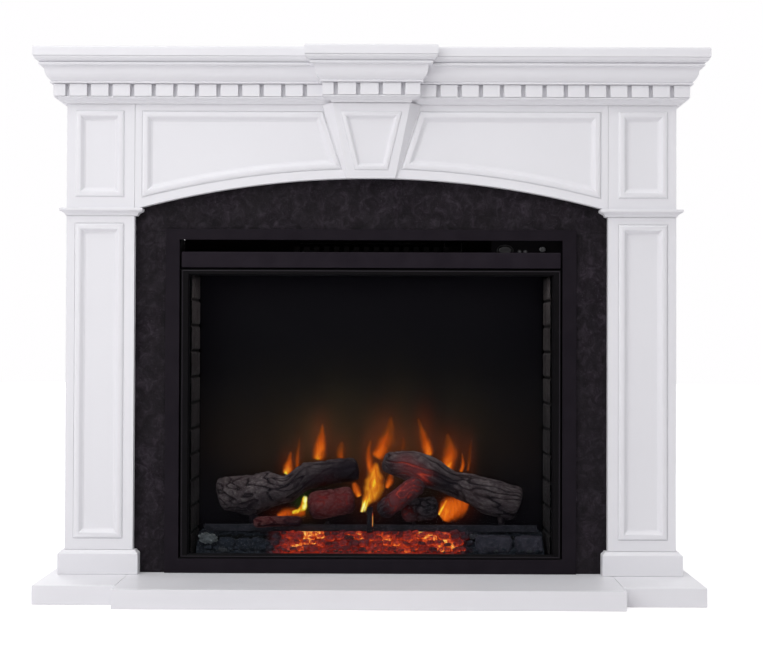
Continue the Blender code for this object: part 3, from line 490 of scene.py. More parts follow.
def inset(poly, d):
    turn = 1.0 if area(poly) > 0 else -1.0
    n = len(poly)
    out = []
    for i in range(n):
        a, b, c = poly[i - 1], poly[i], poly[(i + 1) % n]
        u = Vector((b[0] - a[0], b[1] - a[1])).normalized()
        v = Vector((c[0] - b[0], c[1] - b[1])).normalized()
        nu = Vector((-u.y, u.x)) * turn
        nv = Vector((-v.y, v.x)) * turn
        m = (nu + nv) / max(1e-6, 1.0 + nu.dot(nv))
        out.append((b[0] + m.x * d, b[1] + m.y * d))
    return out


def rect(a0, a1, b0, b1):
    return [(a0, b0), (a1, b0), (a1, b1), (a0, b1)]


def edge_round(bm, width, segments=2, angle=30.0, test=None):
    """Round every edge sharper than angle, for which test passes."""
    bm.normal_update()
    edges = [e for e in bm.edges if len(e.link_faces) == 2
             and e.calc_face_angle(0.0) > math.radians(angle) and (test is None or test(e))]
    if edges:
        bmesh.ops.bevel(bm, geom=edges, offset=width, segments=segments, profile=0.5,
                        affect="EDGES", clamp_overlap=True)


def prism(bm, poly, axis, a, b, mat=0):
    """A flat outline pushed along an axis. axis x: (y, z); y: (x, z); z: (x, y)."""
    def at(p, t):
        return {"x": (t, p[0], p[1]), "y": (p[0], t, p[1]), "z": (p[0], p[1], t)}[axis]
    return skin(bm, [[at(p, a) for p in poly], [at(p, b) for p in poly]], mat=mat)


def block(x0, x1, y0, y1, z0, z1, r=0.0008, seg=2):
    bm = bmesh.new()
    prism(bm, rect(x0, x1, y0, y1), "z", z0, z1)
    bmesh.ops.recalc_face_normals(bm, faces=bm.faces)
    if r:
        edge_round(bm, r, seg)
    return bm


def merge_bm(target, other):
    me = bpy.data.meshes.new("tmp")
    other.to_mesh(me)
    other.free()
    target.from_mesh(me)
    bpy.data.meshes.remove(me)


def bezier(p0, p1, p2, p3, n):
    out = []
    for i in range(n + 1):
        t = i / n
        s = 1 - t
        out.append(tuple(s ** 3 * a + 3 * s * s * t * b + 3 * s * t * t * c + t ** 3 * d
                         for a, b, c, d in zip(p0, p1, p2, p3)))
    return out


def paint_back(ob, test, index):
    """Give the faces that pass test(centre, normal) another material."""
    for p in ob.data.polygons:
        if test(p.center, p.normal):
            p.material_index = index


def lathe(bm, profile, centre, axis, n=48, mat=0):
    """A turned piece: (position along the axis, radius) pairs; closed with caps."""
    loops = []
    for t, r in profile:
        ring = []
        for i in range(n):
            a = 2 * math.pi * i / n
            c, s = r * math.cos(a), r * math.sin(a)
            p = {"x": (t, c, s), "y": (s, t, c), "z": (c, s, t)}[axis]
            ring.append((centre[0] + p[0], centre[1] + p[1], centre[2] + p[2]))
        loops.append(ring)
    return skin(bm, loops, mat=mat)


def float_attr(ob, name, values):
    a = ob.data.attributes.new(name, "FLOAT", "POINT")
    a.data.foreach_set("value", np.asarray(values, np.float32))


def screws(name, points, axis="y", out=-1.0, r=0.0036, body="root"):
    """Pan-head screws with a cross recess, at points on a face. out is the sign the head faces along its axis."""
    bm = bmesh.new()
    for x, y, z in points:
        h = 0.0018
        prof = [(0.0, r), (h * 0.45, r), (h * 0.8, r * 0.82), (h, r * 0.5), (h, r * 0.30), (h * 0.45, r * 0.22)]
        ring = []
        loops = []
        for t, q in prof:
            loop = []
            for i in range(20):
                a = 2 * math.pi * i / 20
                k = 1.0
                if q <= r * 0.31:
                    k = 1.35 if i % 5 == 0 else 0.62
                c, s = q * k * math.cos(a), q * k * math.sin(a)
                p = {"x": (t * out, c, s), "y": (c, t * out, s), "z": (c, s, t * out)}[axis]
                loop.append((x + p[0], y + p[1], z + p[2]))
            loops.append(loop)
        skin(bm, loops)
    return keep(from_bm(bm, name, 0), "root" if body is None else body, sharp=40, weighted=False, mats=[SCREW])


# ------------------------------------------------------------------ hearth
def painted(bm, name, replaces, bare=None, mats=None, sharp=32.0):
    ob = from_bm(bm, name)
    keep(ob, "root", replaces, sharp, mats=mats or [WHITE, BARE])
    if bare:
        paint_back(ob, bare, 1)
    return ob


h, m = HEARTH_HALF, HEARTH_MID_HALF
plan = [(-h, Y_BACK), (-h, Y_HEARTH_SIDE), (-m, Y_HEARTH_SIDE), (-m, Y_HEARTH),
        (m, Y_HEARTH), (m, Y_HEARTH_SIDE), (h, Y_HEARTH_SIDE), (h, Y_BACK)]
bm = bmesh.new()               # a thick middle board with a wing glued to each side: the joints show on the top
prism(bm, [(-m, Y_BACK), (-m, Y_HEARTH), (m, Y_HEARTH), (m, Y_BACK)], "z", 0.0, HEARTH_T)
for s in (-1, 1):
    wing = [(s * h, Y_BACK), (s * h, Y_HEARTH_SIDE), (s * (m + 0.0004), Y_HEARTH_SIDE), (s * (m + 0.0004), Y_BACK)]
    prism(bm, wing if s < 0 else wing[::-1], "z", 0.0, HEARTH_T)
bmesh.ops.recalc_face_normals(bm, faces=bm.faces)
joint = lambda e: all(abs(abs(v.co.x) - m) < 0.001 for v in e.verts)
edge_round(bm, 0.0011, 2, test=lambda e: joint(e) and not all(v.co.z < 0.001 for v in e.verts))
edge_round(bm, 0.0024, 3, test=lambda e: not all(v.co.z < 0.001 for v in e.verts)
           and not all(v.co.y > Y_BACK - 0.001 for v in e.verts)
           and not all(abs(abs(v.co.x) - m) < 0.004 for v in e.verts))
painted(bm, "hearth_board", ["hearth_slab"], lambda c, n: n.y > 0.9 or n.z < -0.9)


# ------------------------------------------------------------------ legs
def wrap(x_in, x_out, y_front, pull):
    return [(x_in + pull, y_front + pull), (x_out - pull, y_front + pull),
            (x_out - pull, Y_BACK), (PIL_OUT + GAP, Y_BACK),
            (PIL_OUT + GAP, Y_STONE - GAP), (x_in + pull, Y_STONE - GAP)]


def leg_moulding(side, name, node, x_in, x_out, y_front, steps):
    bm = bmesh.new()
    skin(bm, [[(side * x, y, z) for x, y in wrap(x_in, x_out, y_front, pull)] for z, pull in steps])
    return painted(bm, name, [node], lambda c, n: n.y > 0.9, sharp=38)


def smooth_steps(z0, z1, curve):
    return [(z0 + (z1 - z0) * a, b) for a, b in curve]


H = CAP_Z1 - CAP_Z0
CAP_CURVE = [(CAP_Z0, 0.0126), (CAP_Z0 + 0.0012, 0.0124)]
CAP_CURVE += [(CAP_Z0 + 0.0018 + 0.0080 * t, 0.0116 - 0.0100 * (1 - math.cos(t * math.pi / 2)))
              for t in [k / 9 for k in range(10)]]
CAP_CURVE += [(CAP_Z0 + 0.0104, 0.0014), (CAP_Z0 + 0.0107, 0.0006)]
CAP_CURVE += [(CAP_Z0 + 0.0107 + 0.0030 * (1 - math.cos(t * math.pi)) / 1.0 * 0.5 + 0.0, 0.0006 - 0.0006 * math.sin(t * math.pi / 2))
              for t in [k / 5 for k in range(1, 6)]]
CAP_CURVE += [(CAP_Z1 - 0.0016, 0.0), (CAP_Z1 - 0.0008, 0.0003), (CAP_Z1 - 0.0002, 0.0010), (CAP_Z1, 0.0018)]

PLINTH_CURVE = [(STAND, 0.0006), (STAND + 0.0006, 0.0), (PLINTH_TOP - 0.0014, 0.0), (PLINTH_TOP - 0.0004, 0.0003),
                (PLINTH_TOP + 0.0004, 0.0010)]
PLINTH_CURVE += [(PLINTH_TOP + 0.0004 + (PLINTH_CHAMFER - PLINTH_TOP - 0.0006) * t,
                  0.0010 + 0.0056 * math.sin(t * math.pi / 2) ** 1.3) for t in [k / 7 for k in range(1, 8)]]
PLINTH_CURVE.append((PLINTH_CHAMFER, 0.0074))


def bead_profile():
    """Section of the applied panel moulding: inset from the window's edge, height over the face."""
    pts = [(0.0, -0.0006), (0.0005, -0.0001)]
    for k in range(9):
        a = math.radians(90 * k / 8)
        pts.append((0.0009 + 0.0082 * (1 - math.cos(a)), 0.0040 * math.sin(a)))
    pts.append((0.0108, 0.00395))
    for k in range(1, 13):
        t = k / 12
        pts.append((0.0112 + 0.0104 * t, 0.0039 - 0.0082 * (t * t * (3 - 2 * t))))
    pts += [(0.0219, -0.0046), (0.0225, -0.0050)]
    return pts


BEAD = bead_profile()


def panel(window, name, node, y_back, face_y=lambda x, z: Y_FACE):
    base = inset(window, GAP)
    bm = bmesh.new()
    loops = [[(x, y_back, z) for x, z in base], [(x, face_y(x, z) + 0.0010, z) for x, z in base]]
    for d, up in BEAD:
        loops.append([(x, face_y(x, z) - up, z) for x, z in inset(base, d)])
    skin(bm, loops)
    return painted(bm, name, [node], lambda c, n: n.y > 0.9 and c.y > y_back - 0.001, sharp=28)


def flat_ring(outer, inner, y0, y1, r=0.0009):
    bm = bmesh.new()
    skin(bm, [[(x, y0, z) for x, z in outer], [(x, y1, z) for x, z in outer],
              [(x, y1, z) for x, z in inner], [(x, y0, z) for x, z in inner]], closed=True)
    bmesh.ops.recalc_face_normals(bm, faces=bm.faces)
    edge_round(bm, r, 2, test=lambda e: all(v.co.y < y0 + 1e-5 for v in e.verts)
               or (abs(e.verts[0].co.y - e.verts[1].co.y) > 1e-3))
    return bm


def window_rect(side, z0, z1):
    return [(side * WIN_IN, z0), (side * WIN_OUT, z0), (side * WIN_OUT, z1), (side * WIN_IN, z1)]


for side, tag in ((-1, "left"), (1, "right")):
    leg_moulding(side, "plinth_block_" + tag, "plinth_" + tag, PLINTH_IN, PLINTH_OUT, Y_PLINTH, PLINTH_CURVE)
    leg_moulding(side, "capital_mould_" + tag, "capital_" + tag, CAP_IN, CAP_OUT, CAP_Y, CAP_CURVE)
    z0, z1 = PLINTH_CHAMFER + GAP, CAP_Z0 - GAP
    outer = [(side * PIL_IN, z0), (side * PIL_OUT, z0), (side * PIL_OUT, z1), (side * PIL_IN, z1)]
    win = window_rect(side, PIL_WIN_Z0, PIL_WIN_Z1)
    painted(flat_ring(outer, win, Y_FACE, Y_FACE + BOARD), "pilaster_face_" + tag, ["pilaster_frame_" + tag],
            lambda c, n: n.y > 0.9)
    panel(win, "pilaster_field_" + tag, "pilaster_panel_" + tag, Y_FACE + BOARD)

    z0, z1 = CAP_Z1 + GAP, SHELF_Z - GAP
    x_in = PIL_IN + GAP
    outer = [(side * x_in, z0), (side * PIL_OUT, z0), (side * PIL_OUT, z1), (side * x_in, z1)]
    win = window_rect(side, BLOCK_WIN_Z0, BLOCK_WIN_Z1)
    bm = bmesh.new()
    loops = [[(x, Y_FACE + BOARD, z) for x, z in outer], [(x, Y_FACE + 0.0008, z) for x, z in outer],
             [(x, Y_FACE + 0.00022, z) for x, z in inset(outer, 0.00022)],
             [(x, Y_FACE, z) for x, z in inset(outer, 0.0008)]]
    for d, up in BEAD:
        loops.append([(x, Y_FACE - up, z) for x, z in inset(win, d)])
    skin(bm, loops)
    painted(bm, "corner_block_face_" + tag, ["corner_block_" + tag], lambda c, n: n.y > 0.9, sharp=28)

    x = sorted((side * PIL_OUT, side * (PIL_OUT - BOARD)))
    painted(block(x[0], x[1], Y_STONE, Y_BACK, STAND, SHELF_Z - GAP, 0.0008), "side_board_" + tag,
            ["side_panel_" + tag], lambda c, n, s=side: n.y > 0.7 or n.x * s < -0.7)


# ------------------------------------------------------------------ header
def arch_z(x, extra=0.0):
    r = ARCH_R + extra
    return ARCH_TOP - ARCH_R + math.sqrt(r * r - x * x)


def key_base(z):
    t = (z - arch_z(KEY_BASE_BOT)) / (KEY_TOP_Z - arch_z(KEY_BASE_BOT))
    return KEY_BASE_BOT + t * (KEY_BASE_TOP - KEY_BASE_BOT)


def header_window(side, n=48):
    edge = 0.003
    x = KEY_BASE_BOT
    for _ in range(30):
        x = key_base(arch_z(x, HEAD_WIN_UP)) + edge
    pts = [(HEAD_WIN_X, HEAD_WIN_TOP), (key_base(HEAD_WIN_TOP) + edge, HEAD_WIN_TOP)]
    for i in range(n + 1):
        t = x + (HEAD_WIN_X - x) * i / n
        pts.append((t, arch_z(t, HEAD_WIN_UP)))
    return [(side * x, z) for x, z in pts]


half, N_ARCH = PIL_IN, 96
outline = [(half, SHELF_Z - GAP), (-half, SHELF_Z - GAP)]
for i in range(N_ARCH + 1):
    x = -half + 2 * half * i / N_ARCH
    outline.append((x, max(arch_z(x), CAP_Z1 + GAP)))
wins = {side: header_window(side) for side in (-1, 1)}
bm = bmesh.new()
# the face is filled between the outline and its two windows, then given its thickness
layers = []
for y in (Y_FACE, Y_FACE + BOARD):
    edges = []
    for poly in (outline, wins[-1], wins[1]):
        vs = [bm.verts.new((x, y, z)) for x, z in poly]
        edges += [bm.edges.new((vs[i], vs[(i + 1) % len(vs)])) for i in range(len(vs))]
        layers.append(vs)
    bmesh.ops.triangle_fill(bm, use_beauty=True, use_dissolve=False, edges=edges)
for a, b in zip(layers[:3], layers[3:]):
    for i in range(len(a)):
        j = (i + 1) % len(a)
        bm.faces.new((a[i], a[j], b[j], b[i]))
bmesh.ops.recalc_face_normals(bm, faces=bm.faces)
edge_round(bm, 0.0011, 2, 60, test=lambda e: all(v.co.y < Y_FACE + 1e-5 for v in e.verts))
painted(bm, "header_face", ["header_frame"], lambda c, n: n.y > 0.9, sharp=35)
for side, tag in ((-1, "left"), (1, "right")):
    panel(wins[side], "header_field_" + tag, "header_panel_" + tag, Y_FACE + BOARD)

# keystone
kz = arch_z(KEY_BASE_BOT)


def key_y(z):
    t = (z - kz) / (KEY_TOP_Z - kz)
    return KEY_Y_BOT + t * (KEY_Y_TOP - KEY_Y_BOT)


kbase = [(-KEY_BASE_TOP, KEY_TOP_Z), (KEY_BASE_TOP, KEY_TOP_Z), (KEY_BASE_BOT, kz), (-KEY_BASE_BOT, kz)]
kface = [(-KEY_FACE_TOP, KEY_TOP_Z), (KEY_FACE_TOP, KEY_TOP_Z), (KEY_FACE_BOT, kz), (-KEY_FACE_BOT, kz)]
kfield = [(-0.0680, 1.0640), (0.0680, 1.0640), (0.0372, 0.9365), (-0.0372, 0.9365)]
bm = bmesh.new()
loops = [[(x, Y_FACE - GAP, z) for x, z in kbase]]
for t in (0.02, 0.10, 0.90, 0.955, 0.985):
    loops.append([(a[0] + (b[0] - a[0]) * t, (Y_FACE - GAP) + (key_y(a[1]) - Y_FACE + GAP) * t, a[1])
                  for a, b in zip(kbase, kface)])
loops.append([(x, key_y(z), z) for x, z in inset(kface, 0.0009)])
for d, up in [(-0.0006, 0.0)] + [(d * 0.71, up * (0.78 if up > 0 else 1.0)) for d, up in BEAD]:
    loops.append([(x, key_y(z) - up, z) for x, z in inset(kfield, d)])
skin(bm, loops)
painted(bm, "keystone_block", ["keystone"], lambda c, n: n.y > 0.9, sharp=28)

# ------------------------------------------------------------------ crown, bed, dentils, shelf
PATH = [(-PIL_OUT, Y_BACK), (-PIL_OUT, Y_FACE), (-BREAK_HALF, Y_FACE), (-BREAK_HALF, Y_FACE - BREAK_OUT),
        (BREAK_HALF, Y_FACE - BREAK_OUT), (BREAK_HALF, Y_FACE), (PIL_OUT, Y_FACE), (PIL_OUT, Y_BACK)]


def offset(path, o):
    out = []
    for i, p in enumerate(path):
        dirs = []
        if i:
            dirs.append(Vector((p[0] - path[i - 1][0], p[1] - path[i - 1][1])).normalized())
        if i < len(path) - 1:
            dirs.append(Vector((path[i + 1][0] - p[0], path[i + 1][1] - p[1])).normalized())
        norms = [Vector((d.y, -d.x)) for d in dirs]
        v = norms[0] if len(norms) == 1 else (norms[0] + norms[1]) / (1.0 + norms[0].dot(norms[1]))
        out.append((p[0] + v.x * o, p[1] + v.y * o))
    return out


def swept(bm, profile, mat=0):
    columns = [[(x, y, z) for x, y in offset(PATH, o)] for o, z in profile]
    skin(bm, [[col[i] for col in columns] for i in range(len(PATH))], mat=mat)


def arc(cx, cz, r, a0, a1, n, rz=None):
    rz = rz or r
    return [(cx + r * math.cos(math.radians(a0 + (a1 - a0) * i / n)),
             cz + rz * math.sin(math.radians(a0 + (a1 - a0) * i / n))) for i in range(n + 1)]


# cove up to a fillet, a bead, and a small cove under the shelf
CROWN = [(GAP, 1.1240), (0.0302, 1.1240), (0.0312, 1.1244), (0.0316, 1.1254), (0.0314, 1.1268), (0.0302, 1.1276),
         (0.0292, 1.1279)]
CROWN += bezier((0.0290, 1.1283), (0.0345, 1.1335), (0.0402, 1.1395), (0.0412, 1.1490), 12)
CROWN += bezier((0.0412, 1.1490), (0.0418, 1.1535), (0.0424, 1.1565), (0.0442, 1.1596), 5)[1:]
CROWN += [(0.0478, 1.1600), (0.0492, 1.1601)]
CROWN += arc(0.0490, 1.16355, 0.00345, -90, 90, 10)[1:]
CROWN += [(0.0486, 1.1671), (0.0484, 1.1676)]
CROWN += bezier((0.0490, 1.1680), (0.0556, 1.1688), (0.0604, 1.1728), (0.0613, 1.1776), 8)
CROWN += [(0.0615, 1.1783), (GAP, 1.1783)]
bm = bmesh.new()
swept(bm, CROWN)
painted(bm, "crown_mould", ["crown_moulding"], lambda c, n: n.y > 0.9, sharp=34)

BED = [(GAP, 1.0829), (0.0052, 1.0829), (0.0060, 1.0833), (0.0064, 1.0842)]
BED += bezier((0.0066, 1.0848), (0.0078, 1.0884), (0.0140, 1.0912), (0.0205, 1.0918), 10)
BED += [(0.0208, 1.0922), (0.0210, 1.0932), (0.0231, 1.0934), (0.0235, 1.0938), (0.0235, 1.0954),
        (0.0231, 1.0958), (GAP, 1.0958)]
bm = bmesh.new()
swept(bm, BED)
painted(bm, "bed_mould", ["bed_moulding"], lambda c, n: n.y > 0.9, sharp=34)

# dentils: a backing strip and a separate block for every tooth
bm = bmesh.new()
swept(bm, [(GAP, DENTIL_Z0), (DENTIL_GAP_O, DENTIL_Z0), (DENTIL_GAP_O, DENTIL_Z1), (GAP, DENTIL_Z1)])
outer = offset(PATH, DENTIL_O)
inner = offset(PATH, DENTIL_GAP_O + 0.0001)
g = DENTIL_GAP_W / 2
GAPS = {0: [Y_BACK - 0.030 - 0.0476 * i for i in range(5)], 1: [-0.6712 + 0.04766 * i for i in range(12)],
        3: [-0.0780 + 0.0492 * i for i in range(4)], 5: [0.1475 + 0.0468 * i for i in range(12)],
        6: [Y_BACK - 0.030 - 0.0476 * i for i in reversed(range(5))]}
stops = []                       # (segment, outer point, inner point) on either side of every gap
for i in sorted(GAPS):
    for c in GAPS[i]:
        if i in (0, 6):
            s = -1 if i == 0 else 1
            stops.append([(i, (outer[i][0], c + q * s), (inner[i][0], c + q * s)) for q in (-g, g)])
        else:
            stops.append([(i, (c + q, outer[i][1]), (c + q, inner[i][1])) for q in (-g, g)])
starts = [(0, outer[0], inner[0])] + [q[1] for q in stops]
ends = [q[0] for q in stops] + [(len(PATH) - 2, outer[-1], inner[-1])]
rng = random.Random(4)
for (i0, po, pi), (i1, qo, qi) in zip(starts, ends):
    poly = [po] + outer[i0 + 1:i1 + 1] + [qo, qi] + inner[i0 + 1:i1 + 1][::-1] + [pi]
    jz = rng.uniform(-0.00015, 0.00015)
    b2 = bmesh.new()
    prism(b2, poly, "z", DENTIL_Z0 + 0.0002, DENTIL_Z1 - 0.0002 + jz)
    bmesh.ops.recalc_face_normals(b2, faces=b2.faces)
    edge_round(b2, 0.0007, 2)
    merge_bm(bm, b2)
painted(bm, "dentils", ["dentil_course"], lambda c, n: n.y > 0.9, sharp=34)

bm = bmesh.new()
o = SHELF_OVER
prof = [(0.0, SHELF_Z), (o - 0.0012, SHELF_Z), (o - 0.0004, SHELF_Z + 0.0004), (o, SHELF_Z + 0.0014),
        (o, HEIGHT - 0.0052)] + [(o - 0.0034 + 0.0034 * math.cos(math.radians(a)),
                                  HEIGHT - 0.0040 + 0.0040 * math.sin(math.radians(a)))
                                 for a in (0, 15, 30, 45, 60, 75, 90)] + [(0.0, HEIGHT)]
cols = [[(x, y, z) for x, y in offset(PATH, q)] for q, z in prof]
rows = [[col[i] for col in cols] for i in range(len(PATH))]
grid = [[bm.verts.new(p) for p in r] for r in rows]
for a, b in zip(grid, grid[1:]):
    for i in range(len(prof) - 1):
        bm.faces.new((a[i], a[i + 1], b[i + 1], b[i]))
bm.faces.new([r[0] for r in grid])
bm.faces.new([r[-1] for r in grid][::-1])
for r in (grid[0], grid[-1]):
    bm.faces.new(r)
# the back edge joins the top and bottom along the wall
bm.faces.new((grid[0][0], grid[0][-1], grid[-1][-1], grid[-1][0]))
painted(bm, "shelf_board", ["mantel_shelf"], lambda c, n: n.y > 0.9, sharp=34, mats=[WHITE_TOP, BARE])

b = block(-(PIL_OUT - BOARD - GAP), PIL_OUT - BOARD - GAP, Y_BACK - BOARD, Y_BACK,
          SHELF_Z - GAP - 0.100, SHELF_Z - GAP, 0.0008)
painted(b, "wall_rail_board", ["back_rail"], None, mats=[BARE])

# ------------------------------------------------------------------ stone surround
def grid_mesh(name, us, vs, at, back, attrs=("relief",)):
    """A solid with one fine grid face (its points come from at) and a plain back."""
    nu, nv = len(us), len(vs)
    verts, vals = [], []
    for v in vs:
        for u in us:
            p, *a = at(u, v)
            verts.append(p)
            vals.append(a)
    faces = [(j * nu + i, j * nu + i + 1, (j + 1) * nu + i + 1, (j + 1) * nu + i)
             for j in range(nv - 1) for i in range(nu - 1)]
    rim = list(range(nu)) + [j * nu + nu - 1 for j in range(1, nv)]
    rim += [(nv - 1) * nu + i for i in range(nu - 2, -1, -1)] + [j * nu for j in range(nv - 2, 0, -1)]
    base, n = len(verts), len(rim)
    for k in rim:
        j, i = divmod(k, nu)
        verts.append(back(us[i], vs[j]))
        vals.append(vals[k])
    for a in range(n):
        b = (a + 1) % n
        faces.append((rim[b], rim[a], base + a, base + b))
    faces.append(tuple(range(base, base + n)))
    me = bpy.data.meshes.new(name)
    me.from_pydata(verts, [], faces)
    bm = bmesh.new()
    bm.from_mesh(me)
    bmesh.ops.recalc_face_normals(bm, faces=bm.faces)
    bm.to_mesh(me)
    bm.free()
    ob = bpy.data.objects.new(name, me)
    scene.collection.objects.link(ob)
    vals = np.array(vals, np.float32)
    for k, key in enumerate(attrs):
        float_attr(ob, key, vals[:, k])
    return ob


def span_list(a, b, step):
    n = max(2, round((b - a) / step))
    return [a + (b - a) * i / n for i in range(n + 1)]


def ease(t):
    t = max(0.0, min(1.0, t))
    return t * t * (3 - 2 * t)


def cleft(x, z, seed):
    """Riven slate: shallow steps and soft hollows, from 0 (deep) to 1 (proud)."""
    s = noise.fractal(Vector((x * 13 + seed, z * 9, seed * 3.1)), 0.8, 2.1, 4)
    t = (s * 0.5 + 0.5) * 5.0
    step = (math.floor(t) + ease((t - math.floor(t)) * 2.2 - 0.6)) / 5.0
    f = noise.fractal(Vector((x * 90, z * 90, seed)), 0.7, 2.2, 3)
    return max(0.0, min(1.0, 0.62 * step + 0.25 * (s * 0.5 + 0.5) + 0.13 * (f * 0.5 + 0.5)))


def stone_slab(name, node, x0, x1, z0, z1, seed, step=0.0030):
    def at(x, z):
        h = cleft(x, z, seed)
        e = min(x - x0, x1 - x, z - z0, z1 - z)
        d = 0.00015 + 0.0011 * (1 - h) + 0.0010 * (1 - ease(e / 0.0035))
        return (x, Y_STONE + d, z), h
    ob = grid_mesh(name, span_list(x0, x1, step), span_list(z0, z1, step), at,
                   lambda x, z: (x, Y_STONE + STONE_T, z))
    return keep(ob, "root", [node], sharp=50, weighted=False, mats=[STONE])


stone_slab("stone_left", "surround_left", -STONE_HALF, -OPEN_HALF, STAND, STONE_SEAM, 3.0)
stone_slab("stone_right", "surround_right", OPEN_HALF, STONE_HALF, STAND, STONE_SEAM, 11.0)
stone_slab("stone_top", "surround_top", -STONE_HALF, STONE_HALF, STONE_SEAM + GAP, 0.975, 23.0)


# ------------------------------------------------------------------ insert front
def ring_piece(name, node, outer, inner, section, mat, sharp=30):
    """A frame whose section is (share of the way from outer to inner, extra inset, y) round the loop."""
    loops = []
    for t, d, y in section:
        src = inset(outer, d) if t == 0 else inset(inner, -d)
        loops.append([(x, y, z) for x, z in src])
    bm = bmesh.new()
    skin(bm, loops, closed=True)
    return keep(from_bm(bm, name), "root", [node], sharp, mats=[mat])


y0, y1 = TRIM_Y0, TRIM_Y1
TRIM_SECTION = [(0, 0, y1), (0, 0, y0 + 0.0012), (0, 0.00018, y0 + 0.0006), (0, 0.0006, y0 + 0.00018),
                (0, 0.0012, y0), (1, 0.0012, y0), (1, 0.0006, y0 + 0.00018), (1, 0.00018, y0 + 0.0006),
                (1, 0, y0 + 0.0012), (1, 0, y1)]
ring_piece("trim_ring", "trim_frame", rect(-TRIM_OUT, TRIM_OUT, STAND, TRIM_TOP_Z),
           rect(-TRIM_IN, TRIM_IN, TRIM_BOT_IN, TRIM_TOP_IN), TRIM_SECTION, POWDER)

y0, y1 = -0.0160, -0.0060
GLASS_SECTION = [(0, 0, y1), (0, 0, y0 + 0.0014), (0, 0.0002, y0 + 0.0007), (0, 0.0007, y0 + 0.0002),
                 (0, 0.0014, y0), (1, 0.0040, y0), (1, 0.0034, y0 + 0.00015), (1, 0.0022, y0 + 0.0014),
                 (1, 0.0006, y0 + 0.0036), (1, 0, y0 + 0.0046), (1, 0, y1)]
ring_piece("glass_bezel", "glass_frame", rect(-FRAME_OUT, FRAME_OUT, FRAME_Z[0], FRAME_Z[3]),
           rect(-FRAME_IN, FRAME_IN, FRAME_Z[1], FRAME_Z[2]), GLASS_SECTION, BEZEL)
# a thin polished bead in the face of the bezel, just inside its outer edge; its lighter tone is a painted highlight
# line
bm = bmesh.new()
skin(bm, [[(x, y, z) for x, z in inset(rect(-FRAME_OUT, FRAME_OUT, FRAME_Z[0], FRAME_Z[3]), d)]
          for d, y in ((0.0026, y0 + 0.0003), (0.0027, y0 - 0.0003), (0.0034, y0 - 0.0006), (0.0041, y0 - 0.0003),
                       (0.0042, y0 + 0.0003))], closed=True)
keep(from_bm(bm, "glass_bezel_bead"), "root", mats=[BEZEL_BEAD_HIGHLIGHT])
keep(from_bm(block(-0.4300, 0.4300, -0.0116, -0.0098, 0.0690, 0.0743, 0.0004, 2), "frame_gasket"),
     "root", mats=[RUBBER])      # black seal in the gap under the glass frame
keep(from_bm(block(-0.4225, 0.4225, -0.0185, -0.0105, BAR_Z0, BAR_Z1, 0.0022, 3), "outlet_slat"),
     "root", ["outlet_bar"], mats=[POWDER_BAR])


def dress(node, mat, smooth=None):
    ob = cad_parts[node]
    ob.data.materials.clear()
    ob.data.materials.append(mat)
    return ob


dress("front_glass", GLASS)
for n in ("firebox_floor", "firebox_top", "firebox_ceiling", "firebox_side_left", "firebox_side_right",
          "firebox_back", "control_panel"):
    dress(n, SHEET_BLACK)
# blower housing and motor toned near black rather than plated: painted shade, so nothing bright shows through the slot
dress("blower_housing", make_metal("housing_sheet_painted_shade", (0.035, 0.035, 0.038), 0.55, (1, 1, 1), 14.0, 0.35))
dress("blower_motor", make_metal("motor_case_painted_shade", (0.040, 0.040, 0.043), 0.55, (1, 1, 1), 14.0, 0.35))
dress("flame_motor", STEEL)
dress("blower_wheel", FAN_PLASTIC)
dress("heating_element", ALLOY_PAINTED_SHADE)
dress("flame_rotor", FOIL)
dress("inlet_gland", RUBBER)


def make_lamps(name):
    """A pale board with warm lamps along it."""
    t = Tree(name)
    x, y, z = t.split()
    g = t.noise(300.0, 3.0)
    base = t.mix(t.span(g, 0.3, 0.7), (0.50, 0.50, 0.46), (0.62, 0.62, 0.58))
    top = t.math("GREATER_THAN", z, 0.0478)
    colour = t.mix(top, base, (0.85, 0.80, 0.60))
    return t.done(t.principled(Base_Color=colour, Roughness=t.span(g, 0.3, 0.7, 0.4, 0.55),
                               Emission_Color=t.mix(top, (0, 0, 0), (1.0, 0.52, 0.18)), Emission_Strength=4.0))


dress("lamp_board", make_lamps("lamp_strip"))

# brick liners: courses with mortar between them, cast in one relief
COURSE0, COURSE = 0.1020, 0.0582
LZ0, LZ1 = BOX_Z0 + SHEET + GAP, 0.7177


def brick_relief(y, z, seed):
    k = (z - COURSE0 - 0.0245) / COURSE
    row = math.floor(k)
    dz = min(k - row, row + 1 - k) * COURSE
    u = (y + (0.052 if row % 2 else 0.0) + 0.017) / 0.104
    dy = abs((u - math.floor(u)) - 0.5) * 0.104
    dy = 0.052 - dy
    wob = 0.0008 * noise.noise(Vector((y * 60, z * 60, seed)))
    e = min(dz + wob, dy + wob)
    flat = ease((e - 0.0026) / 0.0020)
    face = 0.5 + 0.5 * noise.fractal(Vector((y * 70, z * 70, seed + row * 3)), 0.7, 2.2, 4)
    return flat * (0.72 + 0.28 * face) + (1 - flat) * 0.12 * face


for side, tag, seed in ((-1, "left", 2.0), (1, "right", 9.0)):
    def at(y, z, s=side, q=seed):
        h = brick_relief(y, z, q)
        x = 0.4010 - 0.0028 * (y - 0.0010) / 0.1225
        return (s * (x + 0.0029 * (1 - h)), y, z), h

    def back(y, z, s=side):
        return (s * (0.4170 - 0.0030 * (y - 0.0010) / 0.1225), y, z)
    ob = grid_mesh("brick_wall_" + tag, span_list(0.0010, 0.1235, 0.0017), span_list(LZ0, LZ1, 0.0017), at, back)
    keep(ob, "root", ["brick_liner_" + tag], sharp=60, weighted=False, mats=[BRICK])


# ------------------------------------------------------------------ controls
def oval(cx, cz, a, b, n=40):
    return [(cx + a * math.cos(2 * math.pi * i / n), cz + b * math.sin(2 * math.pi * i / n)) for i in range(n)]


